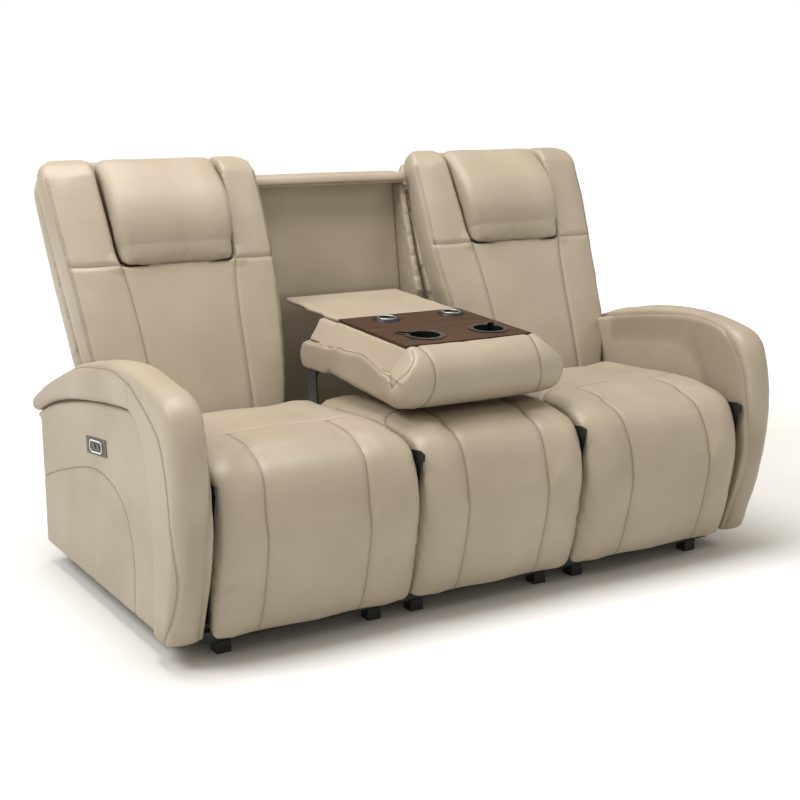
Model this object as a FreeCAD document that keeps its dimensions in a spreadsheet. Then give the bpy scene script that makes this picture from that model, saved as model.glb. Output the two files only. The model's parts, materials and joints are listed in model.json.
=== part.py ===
import FreeCAD, Part
import math
import os
import Sketcher
from FreeCAD import Rotation, Vector

# Sofa with a drop down console: two reclining outer seats and a fixed centre seat.
# Millimetres. +X is the right end seen from the front, the front faces -Y, the floor is z = 0.

DRIVING_SIZES = {
    # feet and base rails
    "foot_height": 29.7, "foot_width": 36, "foot_outer_x": 721, "foot_middle_x": 316,
    "foot_inner_x": 192, "foot_front_y": -364, "foot_rear_y": 466,
    "rail_bottom": 30, "rail_top": 56.7, "rail_width": 30,
    # arms
    "arm_outer": 880, "arm_inner": 793, "arm_panel_outer": 862, "arm_panel_inner": 795,
    "arm_bottom": 57, "arm_toe_y": -434, "arm_belly_y": -521, "arm_belly_z": 430,
    "arm_top_y": -252, "arm_top_z": 669, "arm_rear_y": 521, "arm_rear_z": 462,
    "arm_panel_rear_y": 479, "arm_pad_depth": 166, "seam_gap": 2.2, "arm_recess_inner": 842, "arm_recess_y": 83,
    # control plates
    "switch_y": 28, "switch_z": 425, "switch_length": 145, "switch_height": 43,
    "switch_plate": 3, "switch_tilt": 6.5, "ring_length": 90, "ring_height": 32,
    "button_radius": 7, "button_spacing": 30, "button_gap": 0.4, "button_length": 12,
    "button_proud": 1.6,
    # seats, seen from the side
    "centre_half": 238, "seat_inner": 252, "seat_outer": 772, "seat_bottom": 57,
    "seat_toe_y": -447, "seat_belly_y": -507, "seat_belly_z": 320, "seat_nose_y": -481,
    "seat_nose_z": 430, "seat_front_y": -419, "seat_front_z": 478, "seat_seam_y": -264,
    "seat_top_z": 492, "seat_rear_y": 60, "seat_rear_z": 474,
    "seam_inner_x": 395, "seam_outer_x": 661, "centre_seam_x": 120, "centre_rear_y": 46,
    # seat frames and webbing
    "frame_bottom": 290, "frame_top": 333, "frame_wall": 24, "frame_front_y": -401,
    "frame_rear_y": 36, "webbing_width": 50, "webbing_thick": 3,
    # steel plates of the mechanism, in layers from the plate inwards
    "plate_thick": 3, "layer_gap": 0.6, "plate_edge": 241, "outer_plate_edge": 783,
    "pin_radius": 5, "pin_play": 0.05, "link_width": 22, "link_length": 105,
    "crank_angle": -62, "plate_angle": -8, "footrest_pivot_y": -483, "footrest_pivot_z": 429,
    # footrest
    "pad_back_y": -429, "board_thick": 15, "board_bottom": 75, "board_top": 412,
    # backs, in their own leaning frame: up the back, and through it from front to rear
    "back_lean": 23.3, "back_foot_y": 74, "back_foot_z": 447, "back_top": 742,
    "back_bottom": -45, "back_padding": 108, "back_thick": 165, "wing_level": 421,
    "back_inner_foot": 311, "back_inner_wing": 260, "back_outer_foot": 772,
    "back_outer_mid": 817, "back_outer_wing": 836, "recline_up": -60, "recline_through": 112,
    "tube_radius": 12, "skirt_y": 184, "skirt_thick": 12, "skirt_bottom": 130, "skirt_top": 372,
    # headrests
    "headrest_inner": 390, "headrest_outer": 699, "headrest_top": 739, "headrest_front": -46,
    "headrest_rear": 62, "headrest_gap": 7, "recess_depth": 72, "recess_floor": 423,
    "headrest_pin_up": 427, "headrest_pin_through": 2, "headrest_pin": 2.5,
    # centre back
    "panel_thick": 14, "panel_low_y": 401, "panel_fold_z": 700,
    "panel_top_y": 447, "panel_top_z": 1003, "post_inner": 236, "post_outer": 252,
    "post_low_y": 309, "post_high_y": 413, "post_top_z": 1009, "centre_rear_edge": 481,
    "rail_front_y": 388, "rail_pad_top": 1041,
    # console, in its own frame: forward from the hinge is minus, up is plus
    "console_pivot_y": 96, "console_pivot_z": 538, "console_tilt": 3.24,
    "console_half": 233, "console_under": 12, "console_belly": -508, "console_belly_up": 75,
    "console_lip": -418, "console_rear": 62, "console_seat": 80, "tray_front": -414,
    "tray_rear": 22, "tray_top": 144.5, "tray_top_half": 194, "tray_foot_half": 230,
    "wood_half": 190, "wood_thick": 8, "wood_rear": -70, "deck_half": 186, "deck_thick": 13.5,
    "deck_rear": 255, "arm_plate_x": 222, "arm_plate_thick": 4, "hinge_pin_radius": 8,
    # cup holders and chargers
    "cup_left_x": -83, "cup_right_x": 112, "cup_forward": -330, "cup_radius": 42,
    "cup_wall": 2.5, "cup_depth": 62, "cup_rim": 53, "cup_rim_thick": 2.5, "slot_width": 22,
    "slot_reach": 76, "slot_depth": 45, "slot_turn": 132, "charger_left_x": -75,
    "charger_right_x": 129, "charger_forward": -126, "charger_radius": 38,
    "charger_height": 5, "charger_hole": 30,
    # drive
    "motor_x": 512, "block_rest_y": -170, "track_front_y": -349, "track_rear_y": 41, "track_z": 250,
    "track_width": 36, "track_height": 20, "block_length": 60, "motor_length": 110,
}

document = FreeCAD.newDocument("Sofa")
sheet = document.addObject("Spreadsheet::Sheet", "Sizes")
for row, (alias, number) in enumerate(DRIVING_SIZES.items(), start=1):
    sheet.set(f"A{row}", alias)
    sheet.set(f"B{row}", str(number))
    sheet.setAlias(f"B{row}", alias)
document.recompute()


class Size:
    """A length with its number and the sheet formula that gives it."""

    def __init__(self, number, formula):
        self.number = number
        self.formula = formula

    def join(self, other, sign, result):
        return Size(result, f"({self.formula} {sign} {other.formula})")

    def __add__(self, other):
        other = as_size(other)
        return self.join(other, "+", self.number + other.number)

    def __sub__(self, other):
        other = as_size(other)
        return self.join(other, "-", self.number - other.number)

    def __mul__(self, other):
        other = as_size(other)
        return self.join(other, "*", self.number * other.number)

    def __neg__(self):
        return as_size(0) - self


def as_size(value):
    return value if isinstance(value, Size) else Size(float(value), f"({float(value)})")


def size(alias):
    return Size(float(sheet.get(alias)), f"Sizes.{alias}")


def num(alias):
    return size(alias).number


REST_GAP = 0.3
nodes = {}


def keep(label, thing):
    """Registers a finished sub-part under the name of its file."""
    thing.Label = label
    nodes[label] = thing
    return thing


def bind(thing, prop, value):
    value = as_size(value)
    thing.setExpression(prop, value.formula)


def place(thing, x=0, y=0, z=0):
    for axis, value in zip("xyz", (x, y, z)):
        bind(thing, f"Placement.Base.{axis}", value)


# Primitives whose sizes and places are tied to the sheet

def block(name, low, high):
    """A box between two corners."""
    box = document.addObject("Part::Box", name)
    for prop, a, b in zip(("Length", "Width", "Height"), low, high):
        bind(box, prop, as_size(b) - as_size(a))
    place(box, *low)
    return box


def bar(name, radius, low_x, high_x, y, z):
    """A round bar along X."""
    rod = document.addObject("Part::Cylinder", name)
    bind(rod, "Radius", radius)
    bind(rod, "Height", as_size(high_x) - as_size(low_x))
    rod.Placement = FreeCAD.Placement(Vector(), Rotation(Vector(0, 1, 0), 90))
    place(rod, low_x, y, z)
    return rod


def group(label, parts):
    """Several separate solids under one name."""
    compound = document.addObject("Part::Compound", label)
    compound.Links = parts
    return keep(label, compound)


def fused(name, parts):
    joint = document.addObject("Part::MultiFuse", name)
    joint.Shapes = parts
    return joint


def cut(name, base, tool):
    result = document.addObject("Part::Cut", name)
    result.Base = base
    result.Tool = tool
    return result


def plane_of(body, role):
    return next(f for f in body.Origin.OriginFeatures if f.Role == role)


def bind_constraint(sketch, constraint, value):
    index = sketch.addConstraint(constraint)
    sketch.setExpression(f"Constraints[{index}]", as_size(value).formula)


def plate(label, outline, low_x, thickness, holes=(), pins=()):
    """A flat plate standing in the YZ plane, with drilled holes and standing pins.

    A hole is (y, z, radius). A pin is (y, z, radius, length), and a negative
    length makes it stand on the plate's low side.
    """
    body = document.addObject("PartDesign::Body", label)
    sketch = body.newObject("Sketcher::SketchObject", label + "_outline")
    sketch.AttachmentSupport = [(plane_of(body, "YZ_Plane"), "")]
    sketch.MapMode = "FlatFace"
    points = [(as_size(y), as_size(z)) for y, z in outline]
    count = len(points)
    for i in range(count):
        start, end = points[i], points[(i + 1) % count]
        sketch.addGeometry(Part.LineSegment(Vector(start[0].number, start[1].number, 0),
                                            Vector(end[0].number, end[1].number, 0)))
    for i in range(count):
        sketch.addConstraint(Sketcher.Constraint("Coincident", i, 2, (i + 1) % count, 1))
        y, z = points[i]
        bind_constraint(sketch, Sketcher.Constraint("DistanceX", -1, 1, i, 1, y.number), y)
        bind_constraint(sketch, Sketcher.Constraint("DistanceY", -1, 1, i, 1, z.number), z)
    for y, z, radius in holes:
        add_circle(sketch, y, z, radius)
    pad = body.newObject("PartDesign::Pad", label + "_pad")
    pad.Profile = sketch
    bind(pad, "Length", thickness)
    for number, (y, z, radius, length) in enumerate(pins):
        stud = body.newObject("Sketcher::SketchObject", f"{label}_pin_circle_{number}")
        stud.AttachmentSupport = [(plane_of(body, "YZ_Plane"), "")]
        stud.MapMode = "FlatFace"
        add_circle(stud, y, z, radius)
        pin = body.newObject("PartDesign::Pad", f"{label}_pin_{number}")
        pin.Profile = stud
        length = as_size(length)
        if length.number < 0:
            pin.Reversed = True
            bind(pin, "Length", -length)
        else:
            bind(pin, "Length", length)
    bind(body, "Placement.Base.x", low_x)
    return body


def add_circle(sketch, y, z, radius):
    y, z, radius = as_size(y), as_size(z), as_size(radius)
    ring = sketch.addGeometry(Part.Circle(Vector(y.number, z.number, 0), Vector(0, 0, 1),
                                          radius.number))
    bind_constraint(sketch, Sketcher.Constraint("Radius", ring, radius.number), radius)
    bind_constraint(sketch, Sketcher.Constraint("DistanceX", -1, 1, ring, 3, y.number), y)
    bind_constraint(sketch, Sketcher.Constraint("DistanceY", -1, 1, ring, 3, z.number), z)


# Curved outlines of soft parts: chains of arcs that run smoothly into each other

def chain_angles(points, start):
    """The outline's direction in degrees at each point, given its first direction."""
    angles = [start]
    for (a, b), (c, d) in zip(points, points[1:]):
        chord = math.degrees(math.atan2(d - b, c - a))
        turn = (chord - angles[-1] + 180) % 360 - 180
        angles.append(angles[-1] + 2 * turn)
    return angles


def start_angle(first, second, end):
    """The first direction of the one arc between two points that ends in a given direction."""
    chord = math.degrees(math.atan2(second[1] - first[1], second[0] - first[0]))
    turn = (end - chord + 180) % 360 - 180
    return chord - turn


def chain(points, start, inset=0):
    """Arcs through the points, shifted to the left by the inset."""
    angles = chain_angles(points, start)
    moved = []
    for (a, b), angle in zip(points, angles):
        turn = math.radians(angle)
        moved.append((a - inset * math.sin(turn), b + inset * math.cos(turn)))
    arcs = []
    for first, second, angle in zip(moved, moved[1:], angles):
        dy, dz = second[0] - first[0], second[1] - first[1]
        length = math.hypot(dy, dz)
        chord = math.degrees(math.atan2(dz, dy))
        turn = (chord - angle + 180) % 360 - 180
        rise = length / 2 * math.tan(math.radians(turn) / 2)
        middle = ((first[0] + second[0]) / 2 + rise * dz / length,
                  (first[1] + second[1]) / 2 - rise * dy / length)
        arcs.append((first, middle, second))
    return arcs


def straight(*points):
    return [(a, None, b) for a, b in zip(points, points[1:])]


def side_wire(x, path):
    """A closed outline in the YZ plane at x."""
    edges = []
    for first, middle, second in path:
        a, b = Vector(x, *first), Vector(x, *second)
        if middle is None:
            edges.append(Part.LineSegment(a, b).toShape())
        else:
            edges.append(Part.Arc(a, Vector(x, *middle), b).toShape())
    return Part.Wire(edges)


def level_wire(z, path):
    """A closed outline in the XY plane at z."""
    edges = []
    for first, middle, second in path:
        a, b = Vector(*first, z), Vector(*second, z)
        if middle is None:
            edges.append(Part.LineSegment(a, b).toShape())
        else:
            edges.append(Part.Arc(a, Vector(*middle, z), b).toShape())
    return Part.Wire(edges)


def soft(label, shape, placement=None):
    """A formed solid that no primitive fits."""
    feature = document.addObject("Part::Feature", label)
    feature.Shape = shape.Solids[0] if len(shape.Solids) == 1 else shape
    if placement:
        feature.Placement = placement
    return keep(label, feature)


SIDES = (("left", -1), ("right", 1))


# Feet and base rails

def make_base():
    half = size("foot_width") * 0.5
    feet = []
    for y_name in ("foot_front_y", "foot_rear_y"):
        for x_name in ("foot_outer_x", "foot_middle_x", "foot_inner_x"):
            for side, sign in SIDES:
                x, y = size(x_name) * sign, size(y_name)
                feet.append(block(f"foot_{side}_{x_name}_{y_name}", (x - half, y - half, 0),
                                  (x + half, y + half, size("foot_height"))))
    group("feet", feet)
    low, high, width = size("rail_bottom"), size("rail_top"), size("rail_width")
    end = size("outer_plate_edge") + 3
    front, rear = size("foot_front_y") + width * 0.5, size("foot_rear_y") - width * 0.5
    rails = [block("front_rail", (-end, front - width, low), (end, front, high)),
             block("rear_rail", (-end, rear, low), (end, rear + width, high))]
    for side, sign in SIDES:
        inner = sorted([size("centre_half") * sign, (size("seat_inner") + 12) * sign],
                       key=lambda s: s.number)
        outer = sorted([(size("seat_outer") - 6) * sign, (size("arm_panel_inner") + 22) * sign],
                       key=lambda s: s.number)
        for place_name, (x_low, x_high) in (("inner", inner), ("outer", outer)):
            rails.append(block(f"{side}_{place_name}_rail", (x_low, front, low),
                               (x_high, rear, high)))
    group("base_rails", rails)


# Arms

def arm_outlines(inset):
    """The arm pad's outer line and its inner line, the groove over the side panel."""
    belly = (num("arm_belly_y"), num("arm_belly_z"))
    toe = (num("arm_toe_y"), num("arm_bottom"))
    top = (num("arm_top_y"), num("arm_top_z"))
    shoulder = (belly[0] + 28, belly[1] + 157)
    brow = (belly[0] + 88, belly[1] + 212)
    crest = (top[0] + 344, top[1] - 47)
    tail = (num("arm_rear_y") - 22, num("arm_rear_z") + 12)
    outer = [toe, belly, shoulder, brow, top, crest, tail]
    depth = num("arm_pad_depth")
    inner_belly = (belly[0] + depth + 8, belly[1] - 120)
    groove = [(toe[0] + 112, toe[1]), inner_belly, (inner_belly[0] + 29, inner_belly[1] + 158),
              (inner_belly[0] + 71, inner_belly[1] + 224), (top[0] + 49, top[1] - 107),
              (top[0] + 566, top[1] - 187), (tail[0] + 4, tail[1] - 56)]
    outer_path = chain(outer, start_angle(toe, belly, 90), -inset)
    groove_path = chain(groove, start_angle(groove[0], inner_belly, 90), inset)
    return outer_path, groove_path


def reverse(path):
    return [(c, b, a) for a, b, c in reversed(path)]


def make_arm(side, sign):
    stations = ((num("arm_inner"), 14), (num("arm_inner") + 14, 3), (num("arm_inner") + 45, 0),
                (num("arm_outer") - 14, 4), (num("arm_outer"), 16))
    wires = []
    for x, inset in stations:
        outer, groove = arm_outlines(inset)
        end, root = outer[-1][2], groove[-1][2]
        tip = (num("arm_rear_y") - inset, (end[1] + root[1]) / 2)
        toe, heel, foot = outer[0][0], groove[0][0], num("arm_bottom") - 10
        path = straight((toe[0], foot), toe) + outer + [(end, tip, root)] + reverse(groove)
        path += straight(heel, (heel[0], foot), (toe[0], foot))
        wires.append(side_wire(sign * x, path))
    pad = Part.makeLoft(wires, True, True)
    recess = num("arm_recess_inner")
    tool = Part.makeBox(recess - 700, 600, 700, Vector(700, num("arm_recess_y"), 0))
    if sign < 0:
        tool = tool.mirror(Vector(), Vector(1, 0, 0))
    floor = Part.makeBox(2000, 1200, 100, Vector(-1000, -700, num("arm_bottom") - 100))
    soft(f"{side}_arm_pad", pad.cut(tool).cut(floor))

    outer, groove = arm_outlines(-num("seam_gap"))
    rear = num("arm_panel_rear_y")
    corner = groove[0][0]
    path = groove + straight(groove[-1][2], (groove[-1][2][0], groove[-1][2][1] - 8),
                             (rear, groove[-1][2][1] - 8), (rear, corner[1]), corner)
    face = Part.Face(side_wire(num("arm_panel_inner"), path))
    panel = face.extrude(Vector(num("arm_panel_outer") - num("arm_panel_inner"), 0, 0))
    panel = panel.cut(tool if sign > 0 else tool.mirror(Vector(), Vector(1, 0, 0)))
    pocket = Part.makeBox(20, num("ring_length"), num("ring_height") - 2,
                          Vector(num("arm_panel_outer") - 20, -num("ring_length") / 2,
                                 1 - num("ring_height") / 2))
    pocket.Placement = FreeCAD.Placement(
        Vector(0, num("switch_y"), num("switch_z")),
        Rotation(Vector(1, 0, 0), -num("switch_tilt"))).multiply(pocket.Placement)
    panel = panel.cut(pocket)
    if sign < 0:
        panel = panel.mirror(Vector(), Vector(1, 0, 0))
    soft(f"{side}_arm_panel", panel)


def make_switch(side, sign):
    """Control plate, chrome ring and two push buttons on the arm's outside."""
    face = num("arm_panel_outer")
    thick, radius = num("switch_plate"), num("button_radius")
    length, height = num("switch_length"), num("switch_height")
    long, high = num("ring_length"), num("ring_height")
    spacing, gap = num("button_spacing"), num("button_gap")
    spot = FreeCAD.Placement(Vector(0, num("switch_y"), num("switch_z")),
                             Rotation(Vector(1, 0, 0), -num("switch_tilt")))

    def along_x(shape):
        shape.Placement = spot.multiply(shape.Placement)
        return shape if sign > 0 else shape.mirror(Vector(), Vector(1, 0, 0))

    def oval(radius_out, x_low, thickness):
        reach = (long - high) / 2
        box = Part.makeBox(thickness, 2 * reach, 2 * radius_out, Vector(x_low, -reach, -radius_out))
        ends = [Part.makeCylinder(radius_out, thickness, Vector(x_low, y, 0), Vector(1, 0, 0))
                for y in (-reach, reach)]
        return box.fuse(ends).removeSplitter()

    base = Part.makeBox(thick, length, height, Vector(face + 0.3, -length / 2, -height / 2))
    for y in (-spacing / 2, spacing / 2):
        base = base.cut(Part.makeCylinder(radius + gap, 3 * thick, Vector(face - thick, y, 0),
                                          Vector(1, 0, 0)))
    soft(f"{side}_switch_plate", along_x(base))
    ring = oval(high / 2, face + 0.3 + thick, 2.2).cut(oval(high / 2 - 3.4, face + thick - 1, 5))
    soft(f"{side}_switch_ring", along_x(ring))
    for name, y in (("recline", -spacing / 2), ("headrest", spacing / 2)):
        tip = face + 0.3 + thick + num("button_proud")
        button = Part.makeCylinder(radius, num("button_length"),
                                   Vector(tip - num("button_length"), y, 0), Vector(1, 0, 0))
        soft(f"{side}_{name}_button", along_x(button))


# Seats

def seat_nose(inset):
    """The line over the front edge: from the nose back along the top to the rear."""
    nose = (num("seat_nose_y"), num("seat_nose_z"))
    return [nose, (num("seat_front_y"), num("seat_front_z")),
            (num("seat_seam_y"), num("seat_top_z"))]


def seat_front(inset):
    """Front line from the floor edge up to the nose."""
    toe = (num("seat_toe_y"), num("seat_bottom"))
    belly = (num("seat_belly_y"), num("seat_belly_z"))
    nose = (num("seat_nose_y"), num("seat_nose_z"))
    return [toe, belly, nose]


def front_start():
    toe, belly, nose = seat_front(0)
    return start_angle(toe, belly, 90)


def nose_angle():
    return chain_angles(seat_front(0), front_start())[-1]


def cushion_bottom():
    """Height at which a seat cushion lies on its straps."""
    return num("frame_top") + num("webbing_thick") + 2 * REST_GAP


def board_back():
    """Rear face of the footrest's board, in y."""
    return size("pad_back_y") + REST_GAP + size("board_thick")


def seat_path(inset, rear_y, low_front):
    """Side outline of a seat cushion down to its flat bottom."""
    lean = math.tan(math.radians(num("back_lean")))
    rear_top = (rear_y, num("seat_rear_z"))
    top = chain(seat_nose(0) + [rear_top], nose_angle(), -inset)
    bottom = cushion_bottom()
    rear_low = (rear_y - lean * (num("seat_rear_z") - bottom), bottom)
    tip = top[0][0]
    return top + straight(top[-1][2], rear_low, (low_front, bottom), (low_front, tip[1] - 1), tip)


def crown_stations(edges, seams):
    """Where the sections stand along x, and how far each is drawn in."""
    low, high = edges
    width = high - low
    return ([(low, 15), (low + 0.045 * width, 6), (low + 0.15 * width, 0)] +
            [(seam, 5) for seam in seams[:1]] + [((low + high) / 2, 0)] +
            [(seam, 5) for seam in seams[1:]] +
            [(high - 0.09 * width, 0), (high - 0.04 * width, 5), (high, 15)])


def make_outer_seat(side, sign):
    edges = (num("seat_inner"), num("seat_outer"))
    seams = (num("seam_inner_x"), num("seam_outer_x"))
    cushion_wires, pad_wires = [], []
    for x, inset in crown_stations(edges, seams):
        cushion_wires.append(side_wire(sign * x, seat_path(inset, num("seat_rear_y"),
                                                           board_back().number + 0.8)))
        front = chain(seat_front(0), front_start(), -inset)
        first, middle, tip = front[-1]
        toe = front[0][0]
        back = num("pad_back_y")
        cap = (tip[0] - 0.8, tip[1] - 1.6)
        path = front[:-1] + [(first, middle, cap)]
        path += straight(cap, (back, cap[1]), (back, toe[1]), toe)
        pad_wires.append(side_wire(sign * x, path))
    soft(f"{side}_seat_cushion", Part.makeLoft(cushion_wires, True, True))
    soft(f"{side}_footrest_pad", Part.makeLoft(pad_wires, True, True))
    make_seat_frame(f"{side}_seat", size("seat_inner") + 4, size("seat_outer") - 4, sign)


webbing_straps = []


def make_seat_frame(name, low_x, high_x, sign, rear_reach=None):
    """Four rails under the cushion, and the elastic straps across them."""
    wall, front, rear = size("frame_wall"), size("frame_front_y"), size("frame_rear_y")
    low, high = size("frame_bottom"), size("frame_top")
    side_rear = rear_reach or rear

    def span(a, b):
        return (a, b) if sign > 0 else (-b, -a)

    inner = span(low_x, low_x + wall)
    outer = span(high_x - wall, high_x)
    cross = span(low_x + wall, high_x - wall)
    rails = [block(f"{name}_{end}_rail", (xs[0], front, low), (xs[1], side_rear, high))
             for end, xs in (("near", inner), ("far", outer))]
    rails += [block(f"{name}_front_rail", (cross[0], front, low), (cross[1], front + wall, high)),
              block(f"{name}_rear_rail", (cross[0], rear - wall, low), (cross[1], rear, high))]
    group(f"{name}_frame", rails)
    strap, thick = size("webbing_width"), size("webbing_thick")
    xs = span(low_x + 2, high_x - 2)
    pitch = (rear - front) * 0.2
    straps = []
    for number in range(5):
        middle = front + pitch * (number + 0.5)
        straps.append(block(f"{name}_strap_{number}",
                            (xs[0], middle - strap * 0.5, high + REST_GAP),
                            (xs[1], middle + strap * 0.5, high + REST_GAP + thick)))
    webbing_straps.extend(straps)


def make_centre_seat():
    half = num("centre_half")
    seam = num("centre_seam_x")
    wires = []
    for x, inset in crown_stations((-half, half), (-seam, seam)):
        lean = math.tan(math.radians(num("back_lean")))
        rear_top = (num("centre_rear_y"), num("seat_rear_z"))
        whole = chain(seat_front(0) + seat_nose(0)[1:] + [rear_top], front_start(), -inset)
        bottom, back = cushion_bottom(), num("pad_back_y")
        toe = whole[0][0]
        rear_low = (rear_top[0] - lean * (rear_top[1] - bottom), bottom)
        path = whole + straight(whole[-1][2], rear_low, (back + 14, bottom), (back + 14, toe[1]),
                                toe)
        wires.append(side_wire(x, path))
    soft("centre_seat_cushion", Part.makeLoft(wires, True, True))
    make_seat_frame("centre_seat", -size("centre_half") + 2, size("centre_half") - 2, 1,
                    size("console_pivot_y") + 12)


# Steel mechanism of an outer seat

def swing(angle_name):
    """A pivot at the link's length from the footrest pivot, in a given direction."""
    turn = math.radians(num(angle_name))
    y = size("footrest_pivot_y") + size("link_length") * math.cos(turn)
    z = size("footrest_pivot_z") + size("link_length") * math.sin(turn)
    return y, z


def recline_pivot():
    lean = math.radians(num("back_lean"))
    up, through = size("recline_up"), size("recline_through")
    y = size("back_foot_y") + up * math.sin(lean) + through * math.cos(lean)
    z = size("back_foot_z") + up * math.cos(lean) - through * math.sin(lean)
    return y, z


def strip(start, end, width):
    """The outline of a straight link with blunt ends round its two pivots."""
    dy, dz = end[0].number - start[0].number, end[1].number - start[1].number
    length = math.hypot(dy, dz)
    uy, uz = dy / length, dz / length
    half = width * 0.5
    outline = []
    for centre, along in ((start, -1), (end, 1)):
        for forward, across in ((0.5, 1), (1, 0.5), (1, -0.5), (0.5, -1)):
            turn = across * along
            outline.append((centre[0] + half * (forward * along * uy - turn * uz),
                            centre[1] + half * (forward * along * uz + turn * uy)))
    return outline


def layer(edge, sign, index):
    """Low x of a steel layer, counted from the plate towards the middle of the seat."""
    step = size("plate_thick") + size("layer_gap")
    if sign > 0:
        return edge + step * index
    return edge - size("plate_thick") - step * index


def make_mechanism(side, sign):
    pivot = (size("footrest_pivot_y"), size("footrest_pivot_z"))
    upper, lower = swing("plate_angle"), swing("crank_angle")
    knee = (upper[0] + lower[0] - pivot[0], upper[1] + lower[1] - pivot[1])
    back = recline_pivot()
    thick, radius = size("plate_thick"), size("pin_radius")
    play = radius + size("pin_play")
    reach = thick + size("layer_gap") + thick
    foot = size("rail_top") + REST_GAP
    frame_low = size("frame_bottom")
    outline = [(pivot[0] - 13, pivot[1] - 10), (pivot[0] - 13, pivot[1] + 8),
               (pivot[0] + 6, pivot[1] + 13), (upper[0], upper[1] + 16), (back[0] - 60, back[1] + 26),
               (back[0], back[1] + 24), (back[0] + 18, back[1] + 12), (back[0] + 18, foot),
               (back[0] - 42, foot), (back[0] - 60, frame_low - 20), (upper[0] + 190, frame_low - 20),
               (upper[0] + 180, foot), (upper[0] + 120, foot), (upper[0] + 60, frame_low - 10),
               (upper[0] - 12, frame_low + 20), (upper[0] - 30, upper[1] - 26)]
    plates, brackets, cranks, couplers = [], [], [], []
    bracket_low = (size("pad_back_y") + 5, size("board_bottom") + 20)
    bracket = [(pivot[0] - 11, pivot[1] - 8), (pivot[0] - 11, pivot[1] + 8), (pivot[0] + 8, pivot[1] + 11),
               (lower[0] + 12, lower[1] + 8), (lower[0] + 14, lower[1] - 14),
               (bracket_low[0] + 12, bracket_low[1] + 90), (bracket_low[0] + 12, bracket_low[1]),
               (bracket_low[0] - 12, bracket_low[1]), (bracket_low[0] - 20, bracket_low[1] + 110)]
    width = size("link_width")
    for edge_name, edge, way in (("inner", size("plate_edge"), 1),
                                 ("outer", size("outer_plate_edge"), -1)):
        run = sign * way
        edge = edge * sign
        name = f"{side}_{edge_name}"
        toward = reach * run
        plates.append(plate(f"{name}_plate", outline, layer(edge, run, 0), thick,
                            holes=[(back[0], back[1], size("hinge_pin_radius") + size("pin_play"))],
                            pins=[pin_from(p, radius, run, thick, reach) for p in (pivot, upper)]))
        brackets.append(plate(f"{name}_bracket", bracket, layer(edge, run, 1), thick,
                              holes=[(*pivot, play)],
                              pins=[pin_from(lower, radius, run, thick, reach)]))
        cranks.append(plate(f"{name}_crank", strip(upper, knee, width), layer(edge, run, 1), thick,
                            holes=[(*upper, play)],
                            pins=[pin_from(knee, radius, run, thick, reach)]))
        couplers.append(plate(f"{name}_coupler", strip(knee, lower, width), layer(edge, run, 2),
                              thick, holes=[(*knee, play), (*lower, radius + 1.5)]))
        spacer_low, spacer_high = spacer_span(edge, run)
        for spot, y in (("front", upper[0] + 150), ("rear", back[0] - 125)):
            plates.append(bar(f"{name}_{spot}_spacer", size("hinge_pin_radius"), spacer_low,
                              spacer_high, y, size("frame_top") - 20))
            if edge_name == "inner":
                ends = sorted([edge, (size("centre_half") - 2) * sign], key=lambda s: s.number)
                plates.append(bar(f"{name}_{spot}_centre_spacer", size("hinge_pin_radius"),
                                  *ends, y, size("frame_top") - 20))
        board = size("pad_back_y") + REST_GAP + size("board_thick") * 0.5
        ends = sorted([edge + (thick + thick + size("layer_gap")) * run,
                       edge + (size("seat_inner") + 4 - size("plate_edge")) * run],
                      key=lambda s: s.number)
        for number, up in enumerate((40, 150)):
            brackets.append(bar(f"{name}_board_boss_{number}", 6, *ends, board,
                                size("board_bottom") + up))
    group(f"{side}_mechanism_plates", plates)
    group(f"{side}_footrest_brackets", brackets)
    group(f"{side}_footrest_cranks", cranks)
    group(f"{side}_footrest_couplers", couplers)


def spacer_span(edge, run):
    """From the plate's inner face to the seat frame's side rail."""
    thick = size("plate_thick")
    gap = size("seat_inner") + 4 - size("plate_edge") - thick
    if run > 0:
        return edge + thick, edge + thick + gap
    return edge - thick - gap, edge - thick


def pin_from(spot, radius, run, thick, reach):
    length = reach if run > 0 else thick - reach
    return (spot[0], spot[1], radius, length)


def make_footrest_board(side, sign):
    low_x, high_x = size("seat_inner") + 4, size("seat_outer") - 4
    span = (low_x, high_x) if sign > 0 else (-high_x, -low_x)
    front = size("pad_back_y") + REST_GAP
    board = block(f"{side}_footrest_panel", (span[0], front, size("board_bottom")),
                  (span[1], front + size("board_thick"), size("board_top")))
    keep(f"{side}_footrest_board", board)


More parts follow.
